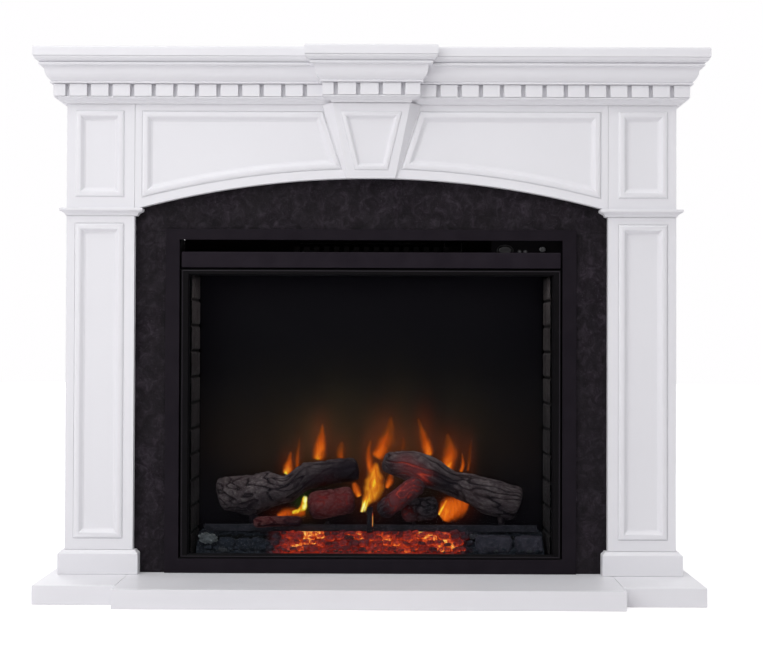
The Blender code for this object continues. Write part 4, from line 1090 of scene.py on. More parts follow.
bm = bmesh.new()
loops = []
for y, a, b in ((0.0190, 0.0145, 0.0096), (0.0062, 0.0145, 0.0096), (0.0052, 0.0142, 0.0093),
                (0.0046, 0.0134, 0.0085), (0.0045, 0.0122, 0.0074)):
    loops.append([(x, y + 0.0007 * ((x - ROCKER[0]) / 0.0145) ** 2, z) for x, z in oval(ROCKER[0], ROCKER[2], a, b)])
loops.append([(x, 0.0050, z) for x, z in oval(ROCKER[0], ROCKER[2], 0.0100, 0.0056)])
loops.append([(x, 0.0052, z) for x, z in oval(ROCKER[0], ROCKER[2], 0.0040, 0.0022)])
skin(bm, loops)
keep(from_bm(bm, "rocker_cap"), "power_switch", ["power_rocker"], mats=[SWITCH])
bm = bmesh.new()       # bezel round the rocker, on the panel
skin(bm, [[(x, y, z) for x, z in oval(ROCKER[0], ROCKER[2], 0.0164 + d, 0.0114 + d)]
          for y, d in ((0.0119, 0.0), (0.0092, 0.0), (0.0088, 0.0004), (0.0087, 0.0012), (0.0092, 0.0020),
                       (0.0119, 0.0024))], closed=True)
keep(from_bm(bm, "rocker_bezel"), "root", mats=[SWITCH])
for name, c, body in (("heat_button", HEAT_BUTTON, "heat_key"), ("flame_button", FLAME_BUTTON, "flame_key")):
    bm = bmesh.new()
    lathe(bm, [(-0.0045, 0.0006), (-0.0044, 0.0017), (-0.0041, 0.0025), (-0.0036, 0.0029), (0.0080, 0.0029)],
          c, "y", 28)
    keep(from_bm(bm, name + "_cap"), body, [name], sharp=40, mats=[BUTTON])
    bm = bmesh.new()
    lathe(bm, [(-0.0001, 0.0050), (-0.0008, 0.0049), (-0.0012, 0.0044), (-0.0012, 0.0036), (-0.0001, 0.0035)],
          c, "y", 28)
    keep(from_bm(bm, name + "_collar"), "root", sharp=40, mats=[SWITCH])

# knob: a fluted grip with a pointer groove
bm = bmesh.new()
loops = []
for t, r, f in ((-0.0097, 0.0010, 0.0), (-0.0098, 0.0048, 0.0), (-0.0096, 0.0064, 0.1), (-0.0090, 0.0073, 0.6),
                (-0.0080, 0.0076, 1.0), (-0.0030, 0.0077, 1.0), (-0.0022, 0.0079, 0.3), (-0.0010, 0.0080, 0.0),
                (-0.0010, 0.0031, 0.0), (0.0070, 0.0031, 0.0)):
    loop = []
    for i in range(72):
        a = 2 * math.pi * i / 72
        q = r - 0.00035 * f * (0.5 + 0.5 * math.cos(a * 24))
        dip = 0.0006 if (abs(math.sin(a)) < 0.10 and math.cos(a) > 0 and 0.004 < r < 0.0075 and t < -0.0088) else 0.0
        loop.append((KNOB[0] + q * math.sin(a), KNOB[1] + t + dip, KNOB[2] + q * math.cos(a)))
    loops.append(loop)
skin(bm, loops)
keep(from_bm(bm, "dial_grip", 0), "heat_dial", ["heat_knob"], sharp=50, weighted=False, mats=[KNOBMAT])

# ------------------------------------------------------------------ fittings on the back and in the slot
pts = [(x, BOX_BACK, z) for x in (-0.43, -0.215, 0.0, 0.215, 0.43) for z in (0.055, 0.785)]
pts += [(x, BOX_BACK, z) for x in (-0.43, 0.43) for z in (0.24, 0.42, 0.60)]
screws("back_screws", pts, "y", 1.0)
pts = [(-0.30 + 0.12 * i, 0.142, BOX_Z1) for i in range(6)]
screws("top_screws", pts, "z", 1.0)
for side, tag in ((-1, "left"), (1, "right")):
    screws("side_screws_" + tag, [(side * BOX_HALF, y, z) for y in (0.02, 0.10, 0.18) for z in (0.06, 0.42, 0.78)],
           "x", side)
bm = bmesh.new()       # pressed louvres in the back sheet
for i in range(14):
    z = 0.640 + 0.0 * i
for row in range(5):
    for col in range(4):
        xc, zc = -0.240 + 0.160 * col, 0.560 + 0.022 * row
        prof = [(BOX_BACK, zc - 0.0060), (BOX_BACK + 0.0044, zc - 0.0058), (BOX_BACK + 0.0046, zc - 0.0048),
                (BOX_BACK + 0.0034, zc - 0.0010), (BOX_BACK + 0.0016, zc + 0.0030), (BOX_BACK, zc + 0.0056)]
        skin(bm, [[(xc - 0.066, y, z) for y, z in [(BOX_BACK, q[1]) for q in prof]],
                  [(xc - 0.060, y, z) for y, z in prof], [(xc + 0.060, y, z) for y, z in prof],
                  [(xc + 0.066, y, z) for y, z in [(BOX_BACK, q[1]) for q in prof]]], caps=False)
keep(from_bm(bm, "back_louvres"), "root", mats=[SHEET_BLACK])

# brackets that carry the insert on the side boards and the mantel's corner blocks behind
for side, tag in ((-1, "left"), (1, "right")):
    bm = bmesh.new()
    for z in (0.20, 0.62, 1.02):
        x = side * (PIL_OUT - BOARD)
        leg = [(x - side * 0.0003, Y_STONE + 0.0040), (x - side * 0.0003, Y_STONE + 0.0400),
               (x - side * 0.0022, Y_STONE + 0.0400), (x - side * 0.0022, Y_STONE + 0.0062),
               (x - side * 0.0340, Y_STONE + 0.0062), (x - side * 0.0340, Y_STONE + 0.0040)]
        b2 = bmesh.new()
        prism(b2, leg, "z", z - 0.020, z + 0.020)
        bmesh.ops.recalc_face_normals(b2, faces=b2.faces)
        edge_round(b2, 0.0003, 1, 30)
        merge_bm(bm, b2)
    keep(from_bm(bm, "corner_brackets_" + tag), "root", mats=[ZINC])
    screws("bracket_screws_" + tag, [(side * (PIL_OUT - BOARD - 0.0022), Y_STONE + 0.026, z)
                                     for z in (0.20, 0.62, 1.02)], "x", -side, 0.0034)
screws("rail_screws", [(x, Y_BACK - BOARD, 1.128) for x in (-0.60, -0.30, 0.0, 0.30, 0.60)], "y", -1.0, 0.0040)


# ------------------------------------------------------------------ flame screen
def plume(x, z, cx, cz, sx, sz):
    return math.exp(-0.5 * ((x - cx) / sx) ** 2 - 0.5 * ((z - cz) / sz) ** 2)


def make_screen(name):
    t = Tree(name)
    g = t.noise(420.0, 3.0, 0.7)
    lit = t.attr("glow", "Color")
    return t.done(t.principled(Base_Color=t.mix(t.span(g, 0.3, 0.7), (0.0018, 0.0016, 0.0022), (0.0034, 0.0030, 0.0040)),
                               Roughness=t.span(g, 0.3, 0.7, 0.50, 0.62), Emission_Color=lit,
                               Emission_Strength=1.0, Specular_IOR_Level=0.10))


HALOS = (  # red-brown light round each tongue: middle x and z, spread, strength
    (-0.190, 0.272, 0.015, 0.022, 0.9), (-0.168, 0.300, 0.008, 0.026, 0.5), (-0.117, 0.325, 0.015, 0.036, 1.0),
    (-0.070, 0.305, 0.014, 0.022, 0.6), (-0.004, 0.300, 0.014, 0.030, 0.9), (0.036, 0.330, 0.022, 0.038, 1.1),
    (0.000, 0.215, 0.030, 0.034, 0.9), (0.074, 0.318, 0.009, 0.022, 0.6), (0.122, 0.338, 0.017, 0.040, 1.0),
    (0.182, 0.300, 0.022, 0.036, 1.1), (0.228, 0.290, 0.010, 0.034, 0.6), (0.194, 0.172, 0.026, 0.018, 0.8),
    (-0.185, 0.156, 0.028, 0.009, 0.9))
ob = grid_mesh("flame_image_screen", span_list(-0.3960, 0.3960, 0.0045), span_list(LZ0, LZ1, 0.0045),
               lambda x, z: ((x, 0.1240, z), 0.0), lambda x, z: (x, 0.1270, z))
lit = []
for v in ob.data.vertices:
    x, y, z = v.co
    n1 = 0.5 + 0.5 * noise.fractal(Vector((x * 11, z * 6 + 4, 1.7)), 0.8, 2.0, 4)
    a = plume(x, z, -0.020, 0.372, 0.195, 0.080) * (0.55 + 0.9 * n1)
    b = plume(x, z, -0.015, 0.300, 0.165, 0.055) * (0.55 + 0.9 * n1)
    c = plume(x, z, 0.045, 0.330, 0.045, 0.050) * (0.4 + 1.1 * n1)
    d = plume(x, z, -0.115, 0.330, 0.045, 0.045) * (0.4 + 1.1 * n1)
    near = 0.0
    for cx, cz, sx, sz, k in HALOS:
        if abs(x - cx) < 4 * sx and abs(z - cz) < 4 * sz:
            near += k * plume(x, z, cx, cz, sx, sz)
    near = min(1.3, near)
    col = [0.0010 + 0.0115 * a + 0.026 * b + 0.020 * c + 0.016 * d,
           0.0007 + 0.0082 * a + 0.0105 * b + 0.0050 * c + 0.0045 * d,
           0.0013 + 0.0032 * a + 0.0028 * b + 0.0010 * c + 0.0010 * d, 1.0]
    col[0] += 0.075 * near
    col[1] += 0.0085 * near
    green = plume(x, z, -0.158, 0.180, 0.011, 0.017)
    col[0] += 0.010 * green
    col[1] += 0.028 * green
    lit.append(col if y < 0.125 else [0.0005, 0.0005, 0.0005, 1.0])
a = ob.data.attributes.new("glow", "FLOAT_COLOR", "POINT")
a.data.foreach_set("color", np.array(lit, np.float32).ravel())
keep(ob, "root", ["flame_screen"], sharp=40, weighted=False, mats=[make_screen("smoked_screen")])


# ------------------------------------------------------------------ flames: glowing sheets just before the screen
def make_flame(name):
    t = Tree(name)
    heat = t.attr("warmth")
    veil = t.attr("veil")
    lick = t.noise(60.0, 4.0, 0.6, 0.8, vec=t.scaled((1.0, 1.0, 0.32)))
    hot = t.math("MULTIPLY", heat, t.span(lick, 0.30, 0.62, 0.84, 1.06))
    colour = t.ramp(hot, [(0.0, (0.010, 0.001, 0.001)), (0.18, (0.075, 0.012, 0.003)), (0.36, (0.22, 0.045, 0.006)),
                          (0.52, (0.48, 0.066, 0.005)), (0.70, (0.80, 0.140, 0.009)), (0.84, (0.95, 0.31, 0.018)),
                          (0.91, (1.0, 0.80, 0.035)),
                          (1.0, (1.0, 0.94, 0.40))])
    alpha = t.math("MULTIPLY", veil, t.span(lick, 0.26, 0.52, 0.55, 1.0), clamp=True)
    return t.done(t.principled(Base_Color=(0.0, 0.0, 0.0), Roughness=1.0, Specular_IOR_Level=0.0,
                               Emission_Color=colour, Emission_Strength=1.35, Alpha=alpha))


FLAME = make_flame("flame_light")


def flame(name, spine, heat0, heat1, veil0, veil1, seed, core=0.42, y=0.1228, edge=0.90):
    """A tongue of light. spine: (x, z, half width) from its foot to its tip."""
    n_u, n_v = 44, 14
    pts = [Vector(p) for p in spine]
    lens = [0.0]
    for a, b in zip(pts, pts[1:]):
        lens.append(lens[-1] + (b - a).length)
    verts, heat, veil = [], [], []

    def at(t):
        d = t * lens[-1]
        k = 0
        while k < len(pts) - 2 and lens[k + 1] < d:
            k += 1
        f = (d - lens[k]) / max(1e-9, lens[k + 1] - lens[k])
        p0, p1, p2, p3 = pts[max(0, k - 1)], pts[k], pts[k + 1], pts[min(len(pts) - 1, k + 2)]
        return 0.5 * ((2 * p1) + (p2 - p0) * f + (2 * p0 - 5 * p1 + 4 * p2 - p3) * f * f
                      + (3 * p1 - p0 - 3 * p2 + p3) * f ** 3)
    for i in range(n_u + 1):
        t = i / n_u
        p, q = at(t), at(min(1.0, t + 0.01)) - at(max(0.0, t - 0.01))
        d = Vector((q[0], q[1]))
        d = d.normalized() if d.length > 1e-9 else Vector((0, 1))
        nrm = Vector((d.y, -d.x))
        w = max(0.0003, p[2]) * 1.22
        for j in range(n_v + 1):
            v = -1 + 2 * j / n_v
            wob = 1.0 + 0.22 * noise.noise(Vector((t * 5.0, v * 1.3, seed * 7.3)))
            off = w * v * wob + 0.10 * w * noise.noise(Vector((t * 9.0, seed * 3.0, 4.4)))
            verts.append((p[0] + nrm.x * off, y + 0.0007 * math.sin(t * 7 + seed) * (1 - v * v) - 0.0006 * (1 - v * v),
                          p[1] + nrm.y * off))
            mid = 1.0 - abs(v) ** 1.5
            heat.append(max(0.0, (heat0 + (heat1 - heat0) * t ** 0.8) * ((1 - core) + core * mid) ** 1.0
                            + 0.04 * noise.noise(Vector((t * 6, v * 3, seed)))))
            end = min(1.0, t / 0.10) * min(1.0, (1 - t) / 0.14)
            veil.append((veil0 + (veil1 - veil0) * t) * ease((1 - abs(v)) / edge) * ease(end))
    faces = [(i * (n_v + 1) + j, i * (n_v + 1) + j + 1, (i + 1) * (n_v + 1) + j + 1, (i + 1) * (n_v + 1) + j)
             for i in range(n_u) for j in range(n_v)]
    me = bpy.data.meshes.new(name)
    me.from_pydata(verts, [], faces)
    ob = bpy.data.objects.new(name, me)
    scene.collection.objects.link(ob)
    float_attr(ob, "warmth", heat)
    float_attr(ob, "veil", veil)
    return keep(ob, "root", sharp=None, weighted=False, mats=[FLAME])


flame("flame_a", [(-0.199, 0.247, 0.010), (-0.192, 0.262, 0.012), (-0.190, 0.280, 0.008), (-0.186, 0.302, 0.003)],
      0.98, 0.40, 0.95, 0.4, 1)
flame("flame_a_wisp", [(-0.172, 0.262, 0.005), (-0.171, 0.285, 0.006), (-0.168, 0.310, 0.004), (-0.166, 0.334, 0.0015)],
      0.62, 0.25, 0.7, 0.3, 2)
flame("flame_b", [(-0.124, 0.280, 0.011), (-0.121, 0.296, 0.015), (-0.117, 0.322, 0.014), (-0.115, 0.345, 0.008),
                  (-0.112, 0.368, 0.002)], 0.97, 0.34, 1.0, 0.65, 3)
flame("flame_c", [(-0.072, 0.285, 0.010), (-0.070, 0.305, 0.011), (-0.068, 0.325, 0.004)], 0.50, 0.30, 0.8, 0.45, 4)
flame("flame_d_top", [(0.012, 0.285, 0.014), (0.024, 0.305, 0.020), (0.037, 0.330, 0.019), (0.043, 0.355, 0.012),
                      (0.046, 0.385, 0.003)], 0.74, 0.30, 1.0, 0.7, 5, y=0.1234)
flame("flame_d_left", [(0.002, 0.250, 0.008), (-0.004, 0.275, 0.010), (-0.006, 0.300, 0.008), (0.000, 0.330, 0.003)],
      0.82, 0.36, 0.9, 0.4, 6, y=0.1231)
flame("flame_d_body", [(-0.016, 0.160, 0.004), (-0.011, 0.182, 0.010), (0.002, 0.205, 0.021), (0.008, 0.232, 0.023),
                       (0.008, 0.256, 0.014), (0.012, 0.278, 0.005)], 1.0, 0.80, 1.0, 0.9, 7, core=0.16, y=0.1226)
flame("flame_d_petal_left", [(-0.026, 0.196, 0.006), (-0.034, 0.212, 0.011), (-0.040, 0.230, 0.005)],
      0.86, 0.55, 0.95, 0.6, 8, y=0.1229)
flame("flame_d_petal_right", [(0.036, 0.216, 0.005), (0.044, 0.234, 0.010), (0.048, 0.256, 0.003)],
      0.78, 0.45, 0.9, 0.5, 9, y=0.1229)
flame("flame_d_tail", [(-0.022, 0.160, 0.004), (-0.016, 0.178, 0.006), (-0.008, 0.200, 0.004)],
      0.98, 0.92, 0.95, 0.9, 10, y=0.1223)
flame("flame_d_small", [(0.072, 0.306, 0.004), (0.075, 0.320, 0.005), (0.074, 0.336, 0.002)], 0.36, 0.2, 0.6, 0.4, 11)
flame("flame_e", [(0.136, 0.290, 0.010), (0.131, 0.310, 0.014), (0.122, 0.338, 0.011), (0.114, 0.360, 0.006),
                  (0.108, 0.382, 0.002)], 0.86, 0.24, 0.95, 0.5, 12)
flame("flame_f", [(0.176, 0.255, 0.010), (0.180, 0.275, 0.017), (0.184, 0.300, 0.019), (0.180, 0.325, 0.012),
                  (0.176, 0.346, 0.003)], 0.84, 0.28, 0.95, 0.6, 13)
flame("flame_f_strand", [(0.172, 0.256, 0.004), (0.180, 0.268, 0.006), (0.188, 0.278, 0.003)], 0.98, 0.7, 0.9, 0.6, 14,
      y=0.1224)
flame("flame_f_edge", [(0.208, 0.254, 0.005), (0.213, 0.272, 0.005), (0.211, 0.300, 0.002)], 0.90, 0.4, 0.9, 0.5, 15,
      y=0.1224)
flame("flame_g", [(0.224, 0.256, 0.003), (0.228, 0.280, 0.005), (0.230, 0.305, 0.004), (0.233, 0.330, 0.0015)],
      0.50, 0.22, 0.6, 0.3, 16)
flame("flame_low_left", [(-0.184, 0.159, 0.004), (-0.168, 0.162, 0.006), (-0.157, 0.172, 0.008), (-0.154, 0.186, 0.007),
                         (-0.152, 0.199, 0.004)], 1.02, 0.98, 1.0, 0.95, 17, core=0.16, edge=0.6)
flame("flame_low_glow", [(-0.218, 0.150, 0.007), (-0.190, 0.157, 0.013), (-0.150, 0.158, 0.008)], 0.60, 0.52, 0.95, 0.8, 18,
      y=0.1234)
flame("flame_low_right", [(0.160, 0.150, 0.012), (0.182, 0.165, 0.026), (0.206, 0.178, 0.022), (0.226, 0.190, 0.008)],
      0.80, 0.60, 1.0, 0.9, 19, y=0.1234, edge=0.5)
flame("flame_low_right_edge", [(0.158, 0.154, 0.004), (0.166, 0.170, 0.005), (0.176, 0.190, 0.003)], 0.97, 0.8, 0.9,
      0.7, 20, y=0.1226)


# ------------------------------------------------------------------ logs
def hot_at(p, spots):
    return min(1.0, sum(s * math.exp(-((p - Vector(c)).length / r) ** 2) for c, r, s in spots))


def bark(s, c1, c2, seed, coarse=46.0, run=9.0):
    """Bark relief 0..1 at a place on a log: plates along the branch, with furrows and cross cracks."""
    q = Vector((c1 * coarse, c2 * coarse, s * run + seed))
    w = noise.noise(Vector((c1 * 18, c2 * 18, s * 18 + seed))) * 0.9
    n1 = noise.noise(q + Vector((w, w * 0.6, w)))
    n1b = noise.noise(Vector((c1 * coarse * 2.1, c2 * coarse * 2.1, s * run * 2.4 + seed * 2)) + Vector((w, w, 0)))
    f1 = min(1.0, abs(n1) * 5.2)
    f2 = min(1.0, abs(n1b) * 4.5)
    n3 = noise.noise(Vector((c1 * 22, c2 * 22, s * 62 + seed * 1.7)))
    f3 = min(1.0, 0.35 + abs(n3) * 6.0)
    fine = 0.5 + 0.5 * noise.fractal(Vector((c1 * 160, c2 * 160, s * 90 + seed)), 0.6, 2.1, 3)
    return max(0.0, min(1.0, (f1 ** 0.7) * (0.55 + 0.45 * f2 ** 0.8) * (0.8 + 0.2 * f3) * (0.78 + 0.30 * fine)))


def crook(t, keys):
    """Rise of the middle line and swelling of the height at t, eased between the given places."""
    for (t0, z0, k0), (t1, z1, k1) in zip(keys, keys[1:]):
        if t <= t1:
            f = ease((t - t0) / (t1 - t0))
            return z0 + (z1 - z0) * f, k0 + (k1 - k0) * f
    return keys[-1][1:]


def log_points(a, b, r0, r1, sag, seed, depth, knots=(), step=0.0017, coarse=46.0, run=9.0, lump=0.0030,
               hot=(), char=(), tip=0.78, soft=0.016, dome=0.006, keys=((0.0, 0.0, 1.0), (1.0, 0.0, 1.0)),
               under=0.30):
    a, b = Vector(a), Vector(b)
    axis = (b - a).normalized()
    side = axis.cross(Vector((0, 1, 0))).normalized()
    front = axis.cross(side).normalized()
    length = (b - a).length
    rows = max(12, round(length / step))
    n = max(24, round(2 * math.pi * max(r0, r1) / step))
    caps = 9
    verts, rel, sawn, ringr, heat, charring_and_painted_shade = [], [], [], [], [], []

    def ring(t, scale, push, cap):
        rise, swell = crook(t, keys)
        c = a.lerp(b, t) + Vector((0, 0, sag * math.sin(math.pi * t) + rise))
        r = r0 + (r1 - r0) * t
        s = t * length
        for k in range(n):
            th = 2 * math.pi * k / n
            cs, sn = math.cos(th), math.sin(th)
            h = bark(s, cs * r, sn * r, seed, coarse, run)
            big = noise.fractal(Vector((cs * r * 14, sn * r * 14, s * 8 + seed)), 0.9, 2.0, 2)
            rr = r + lump * big - depth * (1 - h)
            for ks, kth, kr, kh in knots:
                d = math.hypot((s - ks), (((th - kth + math.pi) % (2 * math.pi)) - math.pi) * r)
                rr += kh * (math.exp(-(d / kr) ** 2) - 1.25 * math.exp(-(d / (kr * 0.42)) ** 2))
                if d < kr * 1.2:
                    h = h * (0.5 + 0.5 * min(1.0, abs(d / kr - 0.5) * 2.2))
            edge = min(s, length - s)
            if cap:
                rr *= tip
            elif edge < soft:
                q = 1 - edge / soft
                rr *= tip + (1 - tip) * math.sqrt(max(0.0, 1 - q * q))
            rr *= scale
            if cap:
                crack = min(1.0, abs(noise.noise(Vector((th * 1.1, seed, 3.0)))) * 7)
                push2 = push - 0.0016 * (1 - crack) * scale
            else:
                push2 = push
            p = c + side * (rr * cs * swell) + front * (rr * sn) + axis * push2
            verts.append(p)
            rel.append(h if not cap else 0.6)
            sawn.append(1.0 if cap and scale < 0.97 else 0.0)
            ringr.append(scale)
            heat.append(hot_at(p, hot))
            # the char mask: charred spots, a little on the sawn ends, and painted shade towards the lower side (under),
            # which is not charring
            charring_and_painted_shade.append(min(1.0, hot_at(p, char) + (0.25 if cap else 0.0) + under * ease((0.15 - cs) / 0.9)))
    m = caps
    for j in range(m):
        ring(0.0, max(0.02, math.sin((j + 0.3) / m * math.pi / 2)), dome * 0.3 - dome * (1 - (j / m) ** 2), True)
    for i in range(rows + 1):
        ring(i / rows, 1.0, 0.0, False)
    for j in reversed(range(m)):
        ring(1.0, max(0.02, math.sin((j + 0.3) / m * math.pi / 2)), -dome * 0.3 + dome * (1 - (j / m) ** 2), True)
    total = 2 * m + rows + 1
    faces = [(i * n + k, i * n + (k + 1) % n, (i + 1) * n + (k + 1) % n, (i + 1) * n + k)
             for i in range(total - 1) for k in range(n)]
    faces.append(tuple(range(n))[::-1])
    faces.append(tuple(range((total - 1) * n, total * n)))
    return verts, faces, rel, sawn, ringr, heat, charring_and_painted_shade


def log_piece(name, node, mat, parts, body="root"):
    verts, faces, cols = [], [], [[], [], [], [], []]
    for part in parts:
        v, f, *vals = part
        base = len(verts)
        verts += v
        faces += [tuple(base + i for i in q) for q in f]
        for c, x in zip(cols, vals):
            c += x
    me = bpy.data.meshes.new(name)
    me.from_pydata([tuple(v) for v in verts], [], faces)
    bm = bmesh.new()
    bm.from_mesh(me)
    bmesh.ops.recalc_face_normals(bm, faces=bm.faces)
    bm.to_mesh(me)
    bm.free()
    ob = bpy.data.objects.new(name, me)
    scene.collection.objects.link(ob)
    for key, x in zip(("relief", "sawn", "ringr", "hot", "char"), cols):
        float_attr(ob, key, x)
    return keep(ob, body, [node], sharp=70, weighted=False, mats=[mat])


log_piece("bark_log_left", "log_left", BARK, [
    log_points((-0.3460, 0.0770, 0.1930), (-0.0320, 0.0860, 0.2640), 0.0385, 0.0300, 0.0, 2.0, 0.0048,
               knots=[(0.125, 4.25, 0.015, 0.0036), (0.060, 4.9, 0.010, 0.0026), (0.250, 4.9, 0.009, 0.0020)],
               coarse=62.0, run=26.0, lump=0.0058, soft=0.020,
               keys=((0.0, 0.012, 1.00), (0.22, -0.004, 1.22), (0.36, -0.003, 1.14), (0.49, -0.011, 0.95),
                     (0.64, 0.010, 0.94), (0.80, 0.007, 0.93), (1.0, 0.001, 0.90)),
               hot=[((-0.10, 0.05, 0.222), 0.030, 0.10)],
               char=[((-0.030, 0.06, 0.265), 0.060, 0.85), ((-0.100, 0.05, 0.250), 0.055, 0.70),
                     ((-0.165, 0.05, 0.235), 0.036, 0.55), ((-0.285, 0.06, 0.165), 0.045, 0.55),
                     ((-0.205, 0.04, 0.195), 0.034, 0.40), ((-0.250, 0.035, 0.205), 0.020, 0.45)]),
    log_points((-0.2680, 0.0760, 0.1416), (-0.2680, 0.0760, 0.1900), 0.0100, 0.0125, 0.0, 5.0, 0.0015, lump=0.001,
               char=[((-0.268, 0.076, 0.15), 0.06, 0.9)])])
log_piece("bark_log_right", "log_right", BARK, [
    log_points((0.0330, 0.0860, 0.2840), (0.3380, 0.0770, 0.1870), 0.0268, 0.0395, 0.0, 12.0, 0.0050,
               knots=[(0.168, 4.55, 0.014, 0.0042), (0.045, 4.1, 0.012, 0.0032)], coarse=56.0, run=11.0, lump=0.0052,
               keys=((0.0, 0.0, 0.95), (0.16, 0.006, 1.14), (0.34, 0.003, 1.10), (0.51, -0.004, 0.90),
                     (0.65, -0.002, 1.00), (0.80, -0.005, 1.16), (1.0, 0.0, 1.08)),
               hot=[((0.078, 0.055, 0.278), 0.022, 0.75), ((0.100, 0.055, 0.262), 0.020, 0.75), ((0.120, 0.055, 0.250), 0.018, 0.6)],
               char=[((0.300, 0.05, 0.155), 0.045, 0.60), ((0.185, 0.045, 0.222), 0.026, 0.50),
                     ((0.150, 0.05, 0.250), 0.030, 0.60), ((0.050, 0.06, 0.275), 0.024, 0.45)]),
    log_points((0.3000, 0.0760, 0.1416), (0.3000, 0.0760, 0.1750), 0.0100, 0.0125, 0.0, 6.0, 0.0015, lump=0.001,
               char=[((0.300, 0.076, 0.15), 0.06, 0.9)])])
log_piece("bark_log_small", "log_small", BARK_EMBER_LIT, [
    log_points((-0.1360, 0.0360, 0.1840), (-0.0400, 0.0360, 0.2010), 0.0325, 0.0325, 0.0, 21.0, 0.0050,
               knots=[(0.05, 4.6, 0.010, 0.0030)], coarse=84.0, run=46.0, lump=0.0050, tip=0.70, soft=0.020,
               hot=[((-0.062, 0.004, 0.206), 0.026, 0.55), ((-0.115, 0.005, 0.200), 0.024, 0.50),
                    ((-0.085, 0.004, 0.172), 0.018, 0.35)],
               char=[((-0.045, 0.02, 0.185), 0.020, 0.75), ((-0.14, 0.02, 0.165), 0.025, 0.6)])])
log_piece("bark_log_center", "log_center", CHARRED, [
    log_points((0.0225, 0.0270, 0.1730), (0.1140, 0.0280, 0.2380), 0.0220, 0.0225, 0.002, 31.0, 0.0044,
               coarse=90.0, run=52.0, lump=0.0042, tip=0.66, soft=0.020,
               hot=[((0.052, 0.006, 0.215), 0.022, 0.85), ((0.085, 0.010, 0.235), 0.024, 0.95),
                    ((0.060, 0.006, 0.185), 0.016, 0.5)],
               char=[((0.030, 0.02, 0.175), 0.02, 0.5)])])
log_piece("bark_log_chunk", "log_chunk", CHARRED, [
    log_points((0.0740, 0.0680, 0.1715), (0.1500, 0.0650, 0.1800), 0.0284, 0.0284, 0.0, 41.0, 0.0050, coarse=78.0,
               run=44.0, lump=0.0042, tip=0.70, soft=0.020, hot=[((0.075, 0.04, 0.155), 0.020, 0.4)])])
log_piece("bark_log_front", "log_front", BARK_EMBER_LIT, [
    log_points((-0.2620, 0.0380, 0.1470), (-0.1560, 0.0340, 0.1500), 0.0125, 0.0125, 0.002, 51.0, 0.0024,
               coarse=110.0, run=34.0, lump=0.0022, tip=0.6, soft=0.012, dome=0.003,
               char=[((-0.165, 0.02, 0.15), 0.045, 0.75)])])


# ------------------------------------------------------------------ ember bed, coals and grate
def bed_top(x, y):
    t = min(1.0, (y - BED_Y0) / (BED_SLOPE_Y - BED_Y0))
    return BED_FRONT_Z + (BED_TOP_Z - BED_FRONT_Z) * t ** 0.85


def hot_bed(x, z, y=0.02):
    """How much fire shows at a place in the bed: a bright middle with dark coals between."""
    mid = ease((x + 0.240) / 0.05) * ease((0.222 - x) / 0.04)
    n1 = 0.5 + 0.5 * noise.fractal(Vector((x * 20, z * 34, 7.7)), 0.8, 2.0, 3)
    return max(0.0, min(1.30, mid * (0.28 + 0.32 * n1 + 1.00 * vein(x, z))))


STREAKS = (   # brighter veins of fire seen on the front of the bed: (x, z) points, width, strength
    (((-0.172, 0.092), (-0.162, 0.109), (-0.140, 0.124), (-0.118, 0.121)), 0.0052, 0.95),
    (((-0.163, 0.095), (-0.147, 0.108), (-0.130, 0.104)), 0.0044, 0.75),
    (((-0.044, 0.122), (-0.026, 0.117), (-0.014, 0.108)), 0.0050, 0.60),
    (((0.020, 0.118), (0.032, 0.106), (0.046, 0.100)), 0.0034, 0.45),
    (((0.106, 0.124), (0.128, 0.114), (0.156, 0.096)), 0.0052, 0.95),
    (((0.162, 0.116), (0.180, 0.100), (0.196, 0.090)), 0.0046, 0.85),
)


def vein(x, z):
    best = 0.0
    for pts, w, k in STREAKS:
        for (ax, az), (bx, bz) in zip(pts, pts[1:]):
            dx, dz = bx - ax, bz - az
            f = max(0.0, min(1.0, ((x - ax) * dx + (z - az) * dz) / (dx * dx + dz * dz)))
            d = math.hypot(x - ax - f * dx, z - az - f * dz)
            wob = 1.0 + 0.5 * noise.noise(Vector((x * 90, z * 90, 3.3)))
            best = max(best, k * math.exp(-(d / (1.35 * w * wob)) ** 2))
    return best


def bed_at(x, y):
    d, _ = noise.voronoi(Vector((x * 62, y * 80, 2.2)))
    d2, _ = noise.voronoi(Vector((x * 150, y * 170, 8.2)))
    crack = ease((d[1] - d[0]) * 2.6)
    small = ease((d2[1] - d2[0]) * 2.4)
    t = min(1.0, (y - BED_Y0) / (BED_SLOPE_Y - BED_Y0))
    relief = 0.70 * crack + 0.30 * small
    drop = 0.0062 * (1 - relief)
    z = bed_top(x, y) + 0.0016 * (1 - t) - drop - 0.0010 * ease(t)
    cold = 1.0 - ease((x + 0.240) / 0.03) * ease((0.222 - x) / 0.03)
    # under: a strip under the grate rail, outside the fire, sunk 4.5 mm and darkened through the soot mask as painted
    # shade
    under = cold * ease((y - 0.033) / 0.006) * ease((0.0505 - y) / 0.002)
    return (x, y, z - 0.0045 * under), relief * (1 - under), hot_bed(x, z, y) * (1.0 - 0.15 * relief), under


ob = grid_mesh("ember_surface", span_list(-BED_HALF, BED_HALF, 0.0019), span_list(BED_Y0, BED_Y1, 0.0021), bed_at,
               lambda x, y: (x, y, LZ0), ("relief", "hot", "soot"))
keep(ob, "root", ["ember_bed"], sharp=60, weighted=False, mats=[COAL])


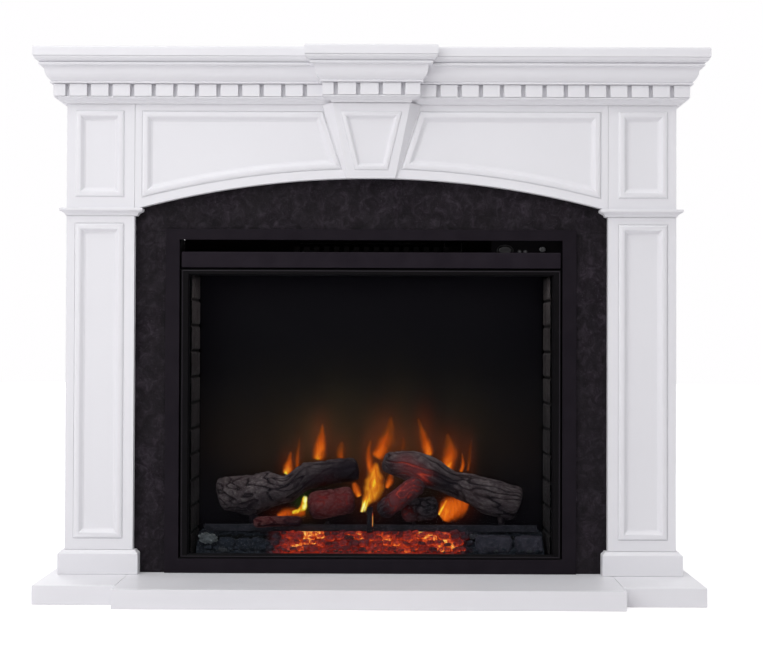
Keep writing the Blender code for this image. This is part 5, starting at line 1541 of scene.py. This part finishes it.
def lump_part(centre, size, seed, square=3.2, turn=(0.0, 0.0, 0.0), n=9, rough=0.10, heat=0.0, under=0.0):
    """One coal: a rounded block with split faces."""
    c = Vector(centre)
    rot = Matrix.Rotation(turn[2], 3, "Z") @ Matrix.Rotation(turn[1], 3, "Y") @ Matrix.Rotation(turn[0], 3, "X")
    index, verts, rel, hot = {}, [], [], []
    faces = []

    def vid(i, j, k):
        key = (i, j, k)
        if key not in index:
            p = Vector((-1 + 2 * i / n, -1 + 2 * j / n, -1 + 2 * k / n))
            q = (abs(p.x) ** square + abs(p.y) ** square + abs(p.z) ** square) ** (1 / square)
            p = p / q
            d1, _ = noise.voronoi(Vector((p.x * 1.5 + seed, p.y * 1.5, p.z * 1.5)))
            facet = min(1.0, (d1[1] - d1[0]) * 2.2)
            f = noise.fractal(Vector((p.x * 2.6 + seed * 3, p.y * 2.6, p.z * 2.6)), 0.7, 2.2, 3)
            grow = 1.0 + rough * (f * 0.7 - 0.9 * (1 - facet))
            w = rot @ Vector((p.x * size[0] / 2 * grow, p.y * size[1] / 2 * grow, p.z * size[2] / 2 * grow))
            index[key] = len(verts)
            verts.append(c + w)
            rel.append(max(0.0, min(1.0, 0.55 + 0.5 * facet - 0.3 + 0.35 * f)))
            low = max(0.0, -p.z)
            hot.append(max(0.0, min(1.0, heat * (0.35 + 0.65 * (1 - facet)) + under * low)))
        return index[key]
    for a in range(n):
        for b in range(n):
            for quad in (((a, b, 0), (a, b + 1, 0), (a + 1, b + 1, 0), (a + 1, b, 0)),
                         ((a, b, n), (a + 1, b, n), (a + 1, b + 1, n), (a, b + 1, n)),
                         ((a, 0, b), (a + 1, 0, b), (a + 1, 0, b + 1), (a, 0, b + 1)),
                         ((a, n, b), (a, n, b + 1), (a + 1, n, b + 1), (a + 1, n, b)),
                         ((0, a, b), (0, a, b + 1), (0, a + 1, b + 1), (0, a + 1, b)),
                         ((n, a, b), (n, a + 1, b), (n, a + 1, b + 1), (n, a, b + 1))):
                faces.append(tuple(vid(*q) for q in quad))
    return verts, faces, rel, hot


def lumps(name, parts, mat, node=()):
    verts, faces, rel, hot = [], [], [], []
    for v, f, r, h in parts:
        base = len(verts)
        verts += v
        faces += [tuple(base + i for i in q) for q in f]
        rel += r
        hot += h
    me = bpy.data.meshes.new(name)
    me.from_pydata([tuple(v) for v in verts], [], faces)
    ob = bpy.data.objects.new(name, me)
    scene.collection.objects.link(ob)
    float_attr(ob, "relief", rel)
    float_attr(ob, "hot", hot)
    return keep(ob, "root", node, sharp=48, weighted=False, mats=[mat])


rng = random.Random(17)
coals, ashes = [], []
for row, (y, dz, s0, s1) in enumerate(((0.0105, 0.0010, 0.012, 0.022), (0.0215, 0.0020, 0.014, 0.026),
                                       (0.0340, 0.0020, 0.016, 0.028), (0.0430, 0.0015, 0.012, 0.022))):
    x = -0.378 + rng.uniform(0, 0.01)
    while x < 0.378:
        w = rng.uniform(s0, s1)
        if row > 1 and not -0.235 < x < 0.225:      # the foot of the rail stays clear outside the fire
            x += w
            continue
        yy = y + rng.uniform(-0.0025, 0.0025)
        hgt = w * rng.uniform(0.50, 0.72)
        z = bed_top(x, yy) + dz + hgt * 0.10
        heat = hot_bed(x, z, yy)
        depth = min(w * rng.uniform(0.7, 1.0), 0.014 + 0.006 * row)
        depth = min(depth, 2 * (yy - 0.0042))
        part = lump_part((x + w / 2, yy, z), (w, depth, hgt), rng.uniform(0, 90), rng.uniform(2.6, 4.2),
                         (rng.uniform(-0.12, 0.12), rng.uniform(-0.35, 0.35), rng.uniform(-0.25, 0.25)), 8, 0.16,
                         heat * rng.choice((0.45, 0.75, 1.0, 1.15)), heat * 0.7)
        (ashes if heat < 0.15 and rng.random() < 0.16 else coals).append(part)
        x += w * rng.uniform(0.82, 1.25)
# larger blocks: dark blue-grey at the left with one pale lump, and squared charcoal at the right
for x, y, z, sx, sy, sz, t in ((-0.322, 0.0200, 0.101, 0.036, 0.024, 0.030, 0.06), (-0.286, 0.0210, 0.099, 0.034, 0.024, 0.030, -0.10),
                               (-0.252, 0.0200, 0.101, 0.032, 0.022, 0.028, 0.12)):
    coals.append(lump_part((x, y, z), (sx, sy, sz), x * 50, 4.0, (0.05, t, t * 0.5), 14, 0.13, 0.0, 0.0))
pale = [lump_part((-0.3640, 0.0170, 0.1130), (0.044, 0.022, 0.025), 7.7, 2.6, (0.0, 0.12, 0.1), 16, 0.20)]
squared = []
for x, y, z, sx, sy, sz, t in ((0.277, 0.0200, 0.1020, 0.082, 0.030, 0.040, 0.02), (0.356, 0.0195, 0.1010, 0.062, 0.028, 0.040, -0.03)):
    squared.append(lump_part((x, y, z), (sx, sy, sz), x * 70, 7.0, (0.02, t, t * 0.6), 20, 0.055, 0.0, 0.0))
x = -0.375
while x < 0.375:                 # pale ash along the foot of the bed
    w = rng.uniform(0.004, 0.009)
    if rng.random() < 0.62:
        yy = rng.uniform(0.0070, 0.0095)
        ashes.append(lump_part((x, yy, bed_top(x, yy) + rng.uniform(0.0, 0.003)), (w, 0.0055, w * 0.6), x * 31, 2.6,
                               (0.0, rng.uniform(-0.5, 0.5), 0.3), 5, 0.2))
    x += w * rng.uniform(0.9, 1.9)
lumps("coals", coals, COAL)
lumps("ash_lumps", ashes, ASHCOAL)
lumps("pale_lump", pale, PALE)
lumps("charcoal_blocks", squared, BLOCK)


def rough_bar(x0, x1, y0, y1, z0, z1, step, seed, r=0.0012, heat=None):
    """A cast bar: a finely divided box with soft corners and a rough skin that stays inside the box."""
    size = (x1 - x0, y1 - y0, z1 - z0)
    cnt = [max(2, round(s / step)) for s in size]
    index, verts, rel, hot, faces = {}, [], [], [], []

    def vid(i, j, k):
        key = (i, j, k)
        if key not in index:
            p = Vector((x0 + size[0] * i / cnt[0], y0 + size[1] * j / cnt[1], z0 + size[2] * k / cnt[2]))
            mid = Vector(((x0 + x1) / 2, (y0 + y1) / 2, (z0 + z1) / 2))
            q = Vector(p)
            for a in range(3):
                lo, hi = (x0, y0, z0)[a] + r, (x1, y1, z1)[a] - r
                q[a] = max(lo, min(hi, p[a]))
            d = p - q
            if d.length > 1e-9:
                p = q + d.normalized() * min(d.length, r)
            f = 0.5 + 0.5 * noise.fractal(Vector((p.x * 160 + seed, p.y * 160, p.z * 160)), 0.7, 2.1, 3)
            g = 0.5 + 0.5 * noise.noise(Vector((p.x * 40 + seed, p.y * 40, p.z * 40)))
            inward = d.normalized() if d.length > 1e-9 else Vector((0, 0, 0))
            p = p - inward * (0.0007 * (1 - f) + 0.0009 * (1 - g))
            index[key] = len(verts)
            verts.append(p)
            rel.append(0.5 * f + 0.5 * g)
            hot.append(heat(p) if heat else 0.0)
        return index[key]
    nx, ny, nz = cnt
    for i in range(nx):
        for j in range(ny):
            faces.append(tuple(vid(*q) for q in ((i, j, 0), (i, j + 1, 0), (i + 1, j + 1, 0), (i + 1, j, 0))))
            faces.append(tuple(vid(*q) for q in ((i, j, nz), (i + 1, j, nz), (i + 1, j + 1, nz), (i, j + 1, nz))))
        for k in range(nz):
            faces.append(tuple(vid(*q) for q in ((i, 0, k), (i + 1, 0, k), (i + 1, 0, k + 1), (i, 0, k + 1))))
            faces.append(tuple(vid(*q) for q in ((i, ny, k), (i, ny, k + 1), (i + 1, ny, k + 1), (i + 1, ny, k))))
    for j in range(ny):
        for k in range(nz):
            faces.append(tuple(vid(*q) for q in ((0, j, k), (0, j, k + 1), (0, j + 1, k + 1), (0, j + 1, k))))
            faces.append(tuple(vid(*q) for q in ((nx, j, k), (nx, j + 1, k), (nx, j + 1, k + 1), (nx, j, k + 1))))
    return verts, faces, rel, hot


RAIL_Y0, RAIL_Y1, BAR_END = 0.0500, 0.0610, 0.1140
parts = [rough_bar(-GRATE_HALF, GRATE_HALF, RAIL_Y0, RAIL_Y1, GRATE_Z0, GRATE_Z1, 0.0026, 1.0,
                   heat=lambda p: 0.0)]
for c in (-0.2680, -0.1000, 0.1000, 0.3000):
    parts.append(rough_bar(c - 0.005, c + 0.005, RAIL_Y1 - 0.0004, BAR_END, GRATE_Z0, GRATE_Z1, 0.0026, c * 9))
lumps("cast_grate", parts, IRON, ["log_grate"])
# front post of the grate: the lower part of its right side glows, painted firelight
lumps("cast_prong", [rough_bar(-0.0085, 0.0065, 0.0300, 0.0370, GRATE_Z0, 0.1840, 0.0016, 4.0, 0.0022,
                               lambda p: ease((p.x - 0.0032) / 0.0020) * ease((0.176 - p.z) / 0.012) * 1.1),
                     rough_bar(-0.0085, 0.0065, 0.0300, RAIL_Y0 + 0.001, GRATE_Z0, GRATE_Z1, 0.0020, 6.0)],
      PRONG_PAINTED_GLOW)

# ------------------------------------------------------------------ floor, world and light
def make_floor():
    t = Tree("studio_floor")
    x, y, z = t.split()
    far = t.math("SQRT", t.math("ADD", t.math("MULTIPLY", x, x), t.math("MULTIPLY", y, y)))
    g = t.noise(40.0, 3.0)
    seen = t.node("ShaderNodeLightPath").outputs["Is Camera Ray"]
    lift = t.math("MULTIPLY", t.span(far, 0.8, 1.8, 0.42, 0.98, smooth=True), seen)
    return t.done(t.principled(Base_Color=t.mix(t.span(g, 0.3, 0.7), (0.88, 0.87, 0.885), (0.90, 0.89, 0.905)),
                               Roughness=0.9, Specular_IOR_Level=0.1,
                               Emission_Color=(1.0, 0.992, 1.0), Emission_Strength=lift))


bm = bmesh.new()
ringv = []
for r in (0.5, 1.0, 2.0, 4.0, 8.0, 16.0):
    ringv.append([bm.verts.new((r * math.cos(2 * math.pi * i / 64), r * math.sin(2 * math.pi * i / 64), -0.0006))
                  for i in range(64)])
bm.faces.new(ringv[0])
for a, b in zip(ringv, ringv[1:]):
    for i in range(64):
        bm.faces.new((a[i], a[(i + 1) % 64], b[(i + 1) % 64], b[i]))
floor = from_bm(bm, "studio_floor", 0)
floor.data.materials.append(make_floor())

t = Tree("studio", world=True)
d = t.node("ShaderNodeTexCoord").outputs["Generated"]
dx, dy, dz = t.split(d)
level = t.span(dz, -0.25, 0.95, 0.235, 0.58)
toward = t.math("MULTIPLY", t.span(dy, -0.35, -0.95), t.span(t.math("ABSOLUTE", dz), 0.45, 0.15))
level = t.math("MULTIPLY", level, t.span(toward, 0.0, 1.0, 1.0, 0.10))
light_bg = t.node("ShaderNodeBackground", {"Color": (1.0, 0.99, 1.0), "Strength": level}).outputs[0]
see_bg = t.node("ShaderNodeBackground", {"Color": (1.0, 0.992, 1.0), "Strength": 1.0}).outputs[0]
mixer = t.node("ShaderNodeMixShader", {0: t.node("ShaderNodeLightPath").outputs["Is Camera Ray"]})
t.nt.links.new(light_bg, mixer.inputs[1])
t.nt.links.new(see_bg, mixer.inputs[2])
out = t.node("ShaderNodeOutputWorld")
t.nt.links.new(mixer.outputs[0], out.inputs["Surface"])
scene.world = t.owner


def lamp(name, at, aim, size, power, colour=(1, 1, 1), camera_ray=False, glossy=True):
    data = bpy.data.lights.new(name, "AREA")
    data.shape = "RECTANGLE"
    data.size, data.size_y = size
    data.energy = power
    data.color = colour
    ob = bpy.data.objects.new(name, data)
    scene.collection.objects.link(ob)
    ob.location = at
    ob.rotation_euler = (Vector(aim) - Vector(at)).to_track_quat("-Z", "Y").to_euler()
    ob.visible_camera = camera_ray
    ob.visible_glossy = glossy
    return ob


lamp("key", (-3.1, -3.1, 2.0), (0, 0, 0.55), (4.2, 3.2), 54, (1.0, 0.992, 1.0))
lamp("fill_right", (3.0, -2.6, 1.6), (0, 0, 0.6), (2.4, 2.0), 2, (1.0, 0.995, 1.0))
lamp("front_soft", (-1.5, -3.9, 2.7), (0, 0, 0.4), (3.0, 1.2), 17)
lamp("over", (-0.3, -1.5, 3.3), (0, 0, 0.2), (4.0, 3.0), 50)
lamp("back_left", (-2.2, 3.0, 2.2), (0, 0.2, 0.6), (2.0, 2.0), 45)
lamp("back_right", (2.4, 2.8, 1.8), (0, 0.2, 0.6), (2.0, 2.0), 30)
lamp("firebox_top_glow", (0.0, 0.030, 0.700), (0.0, 0.055, 0.15), (0.74, 0.030), 0.9, (1.0, 0.93, 0.90), glossy=False)
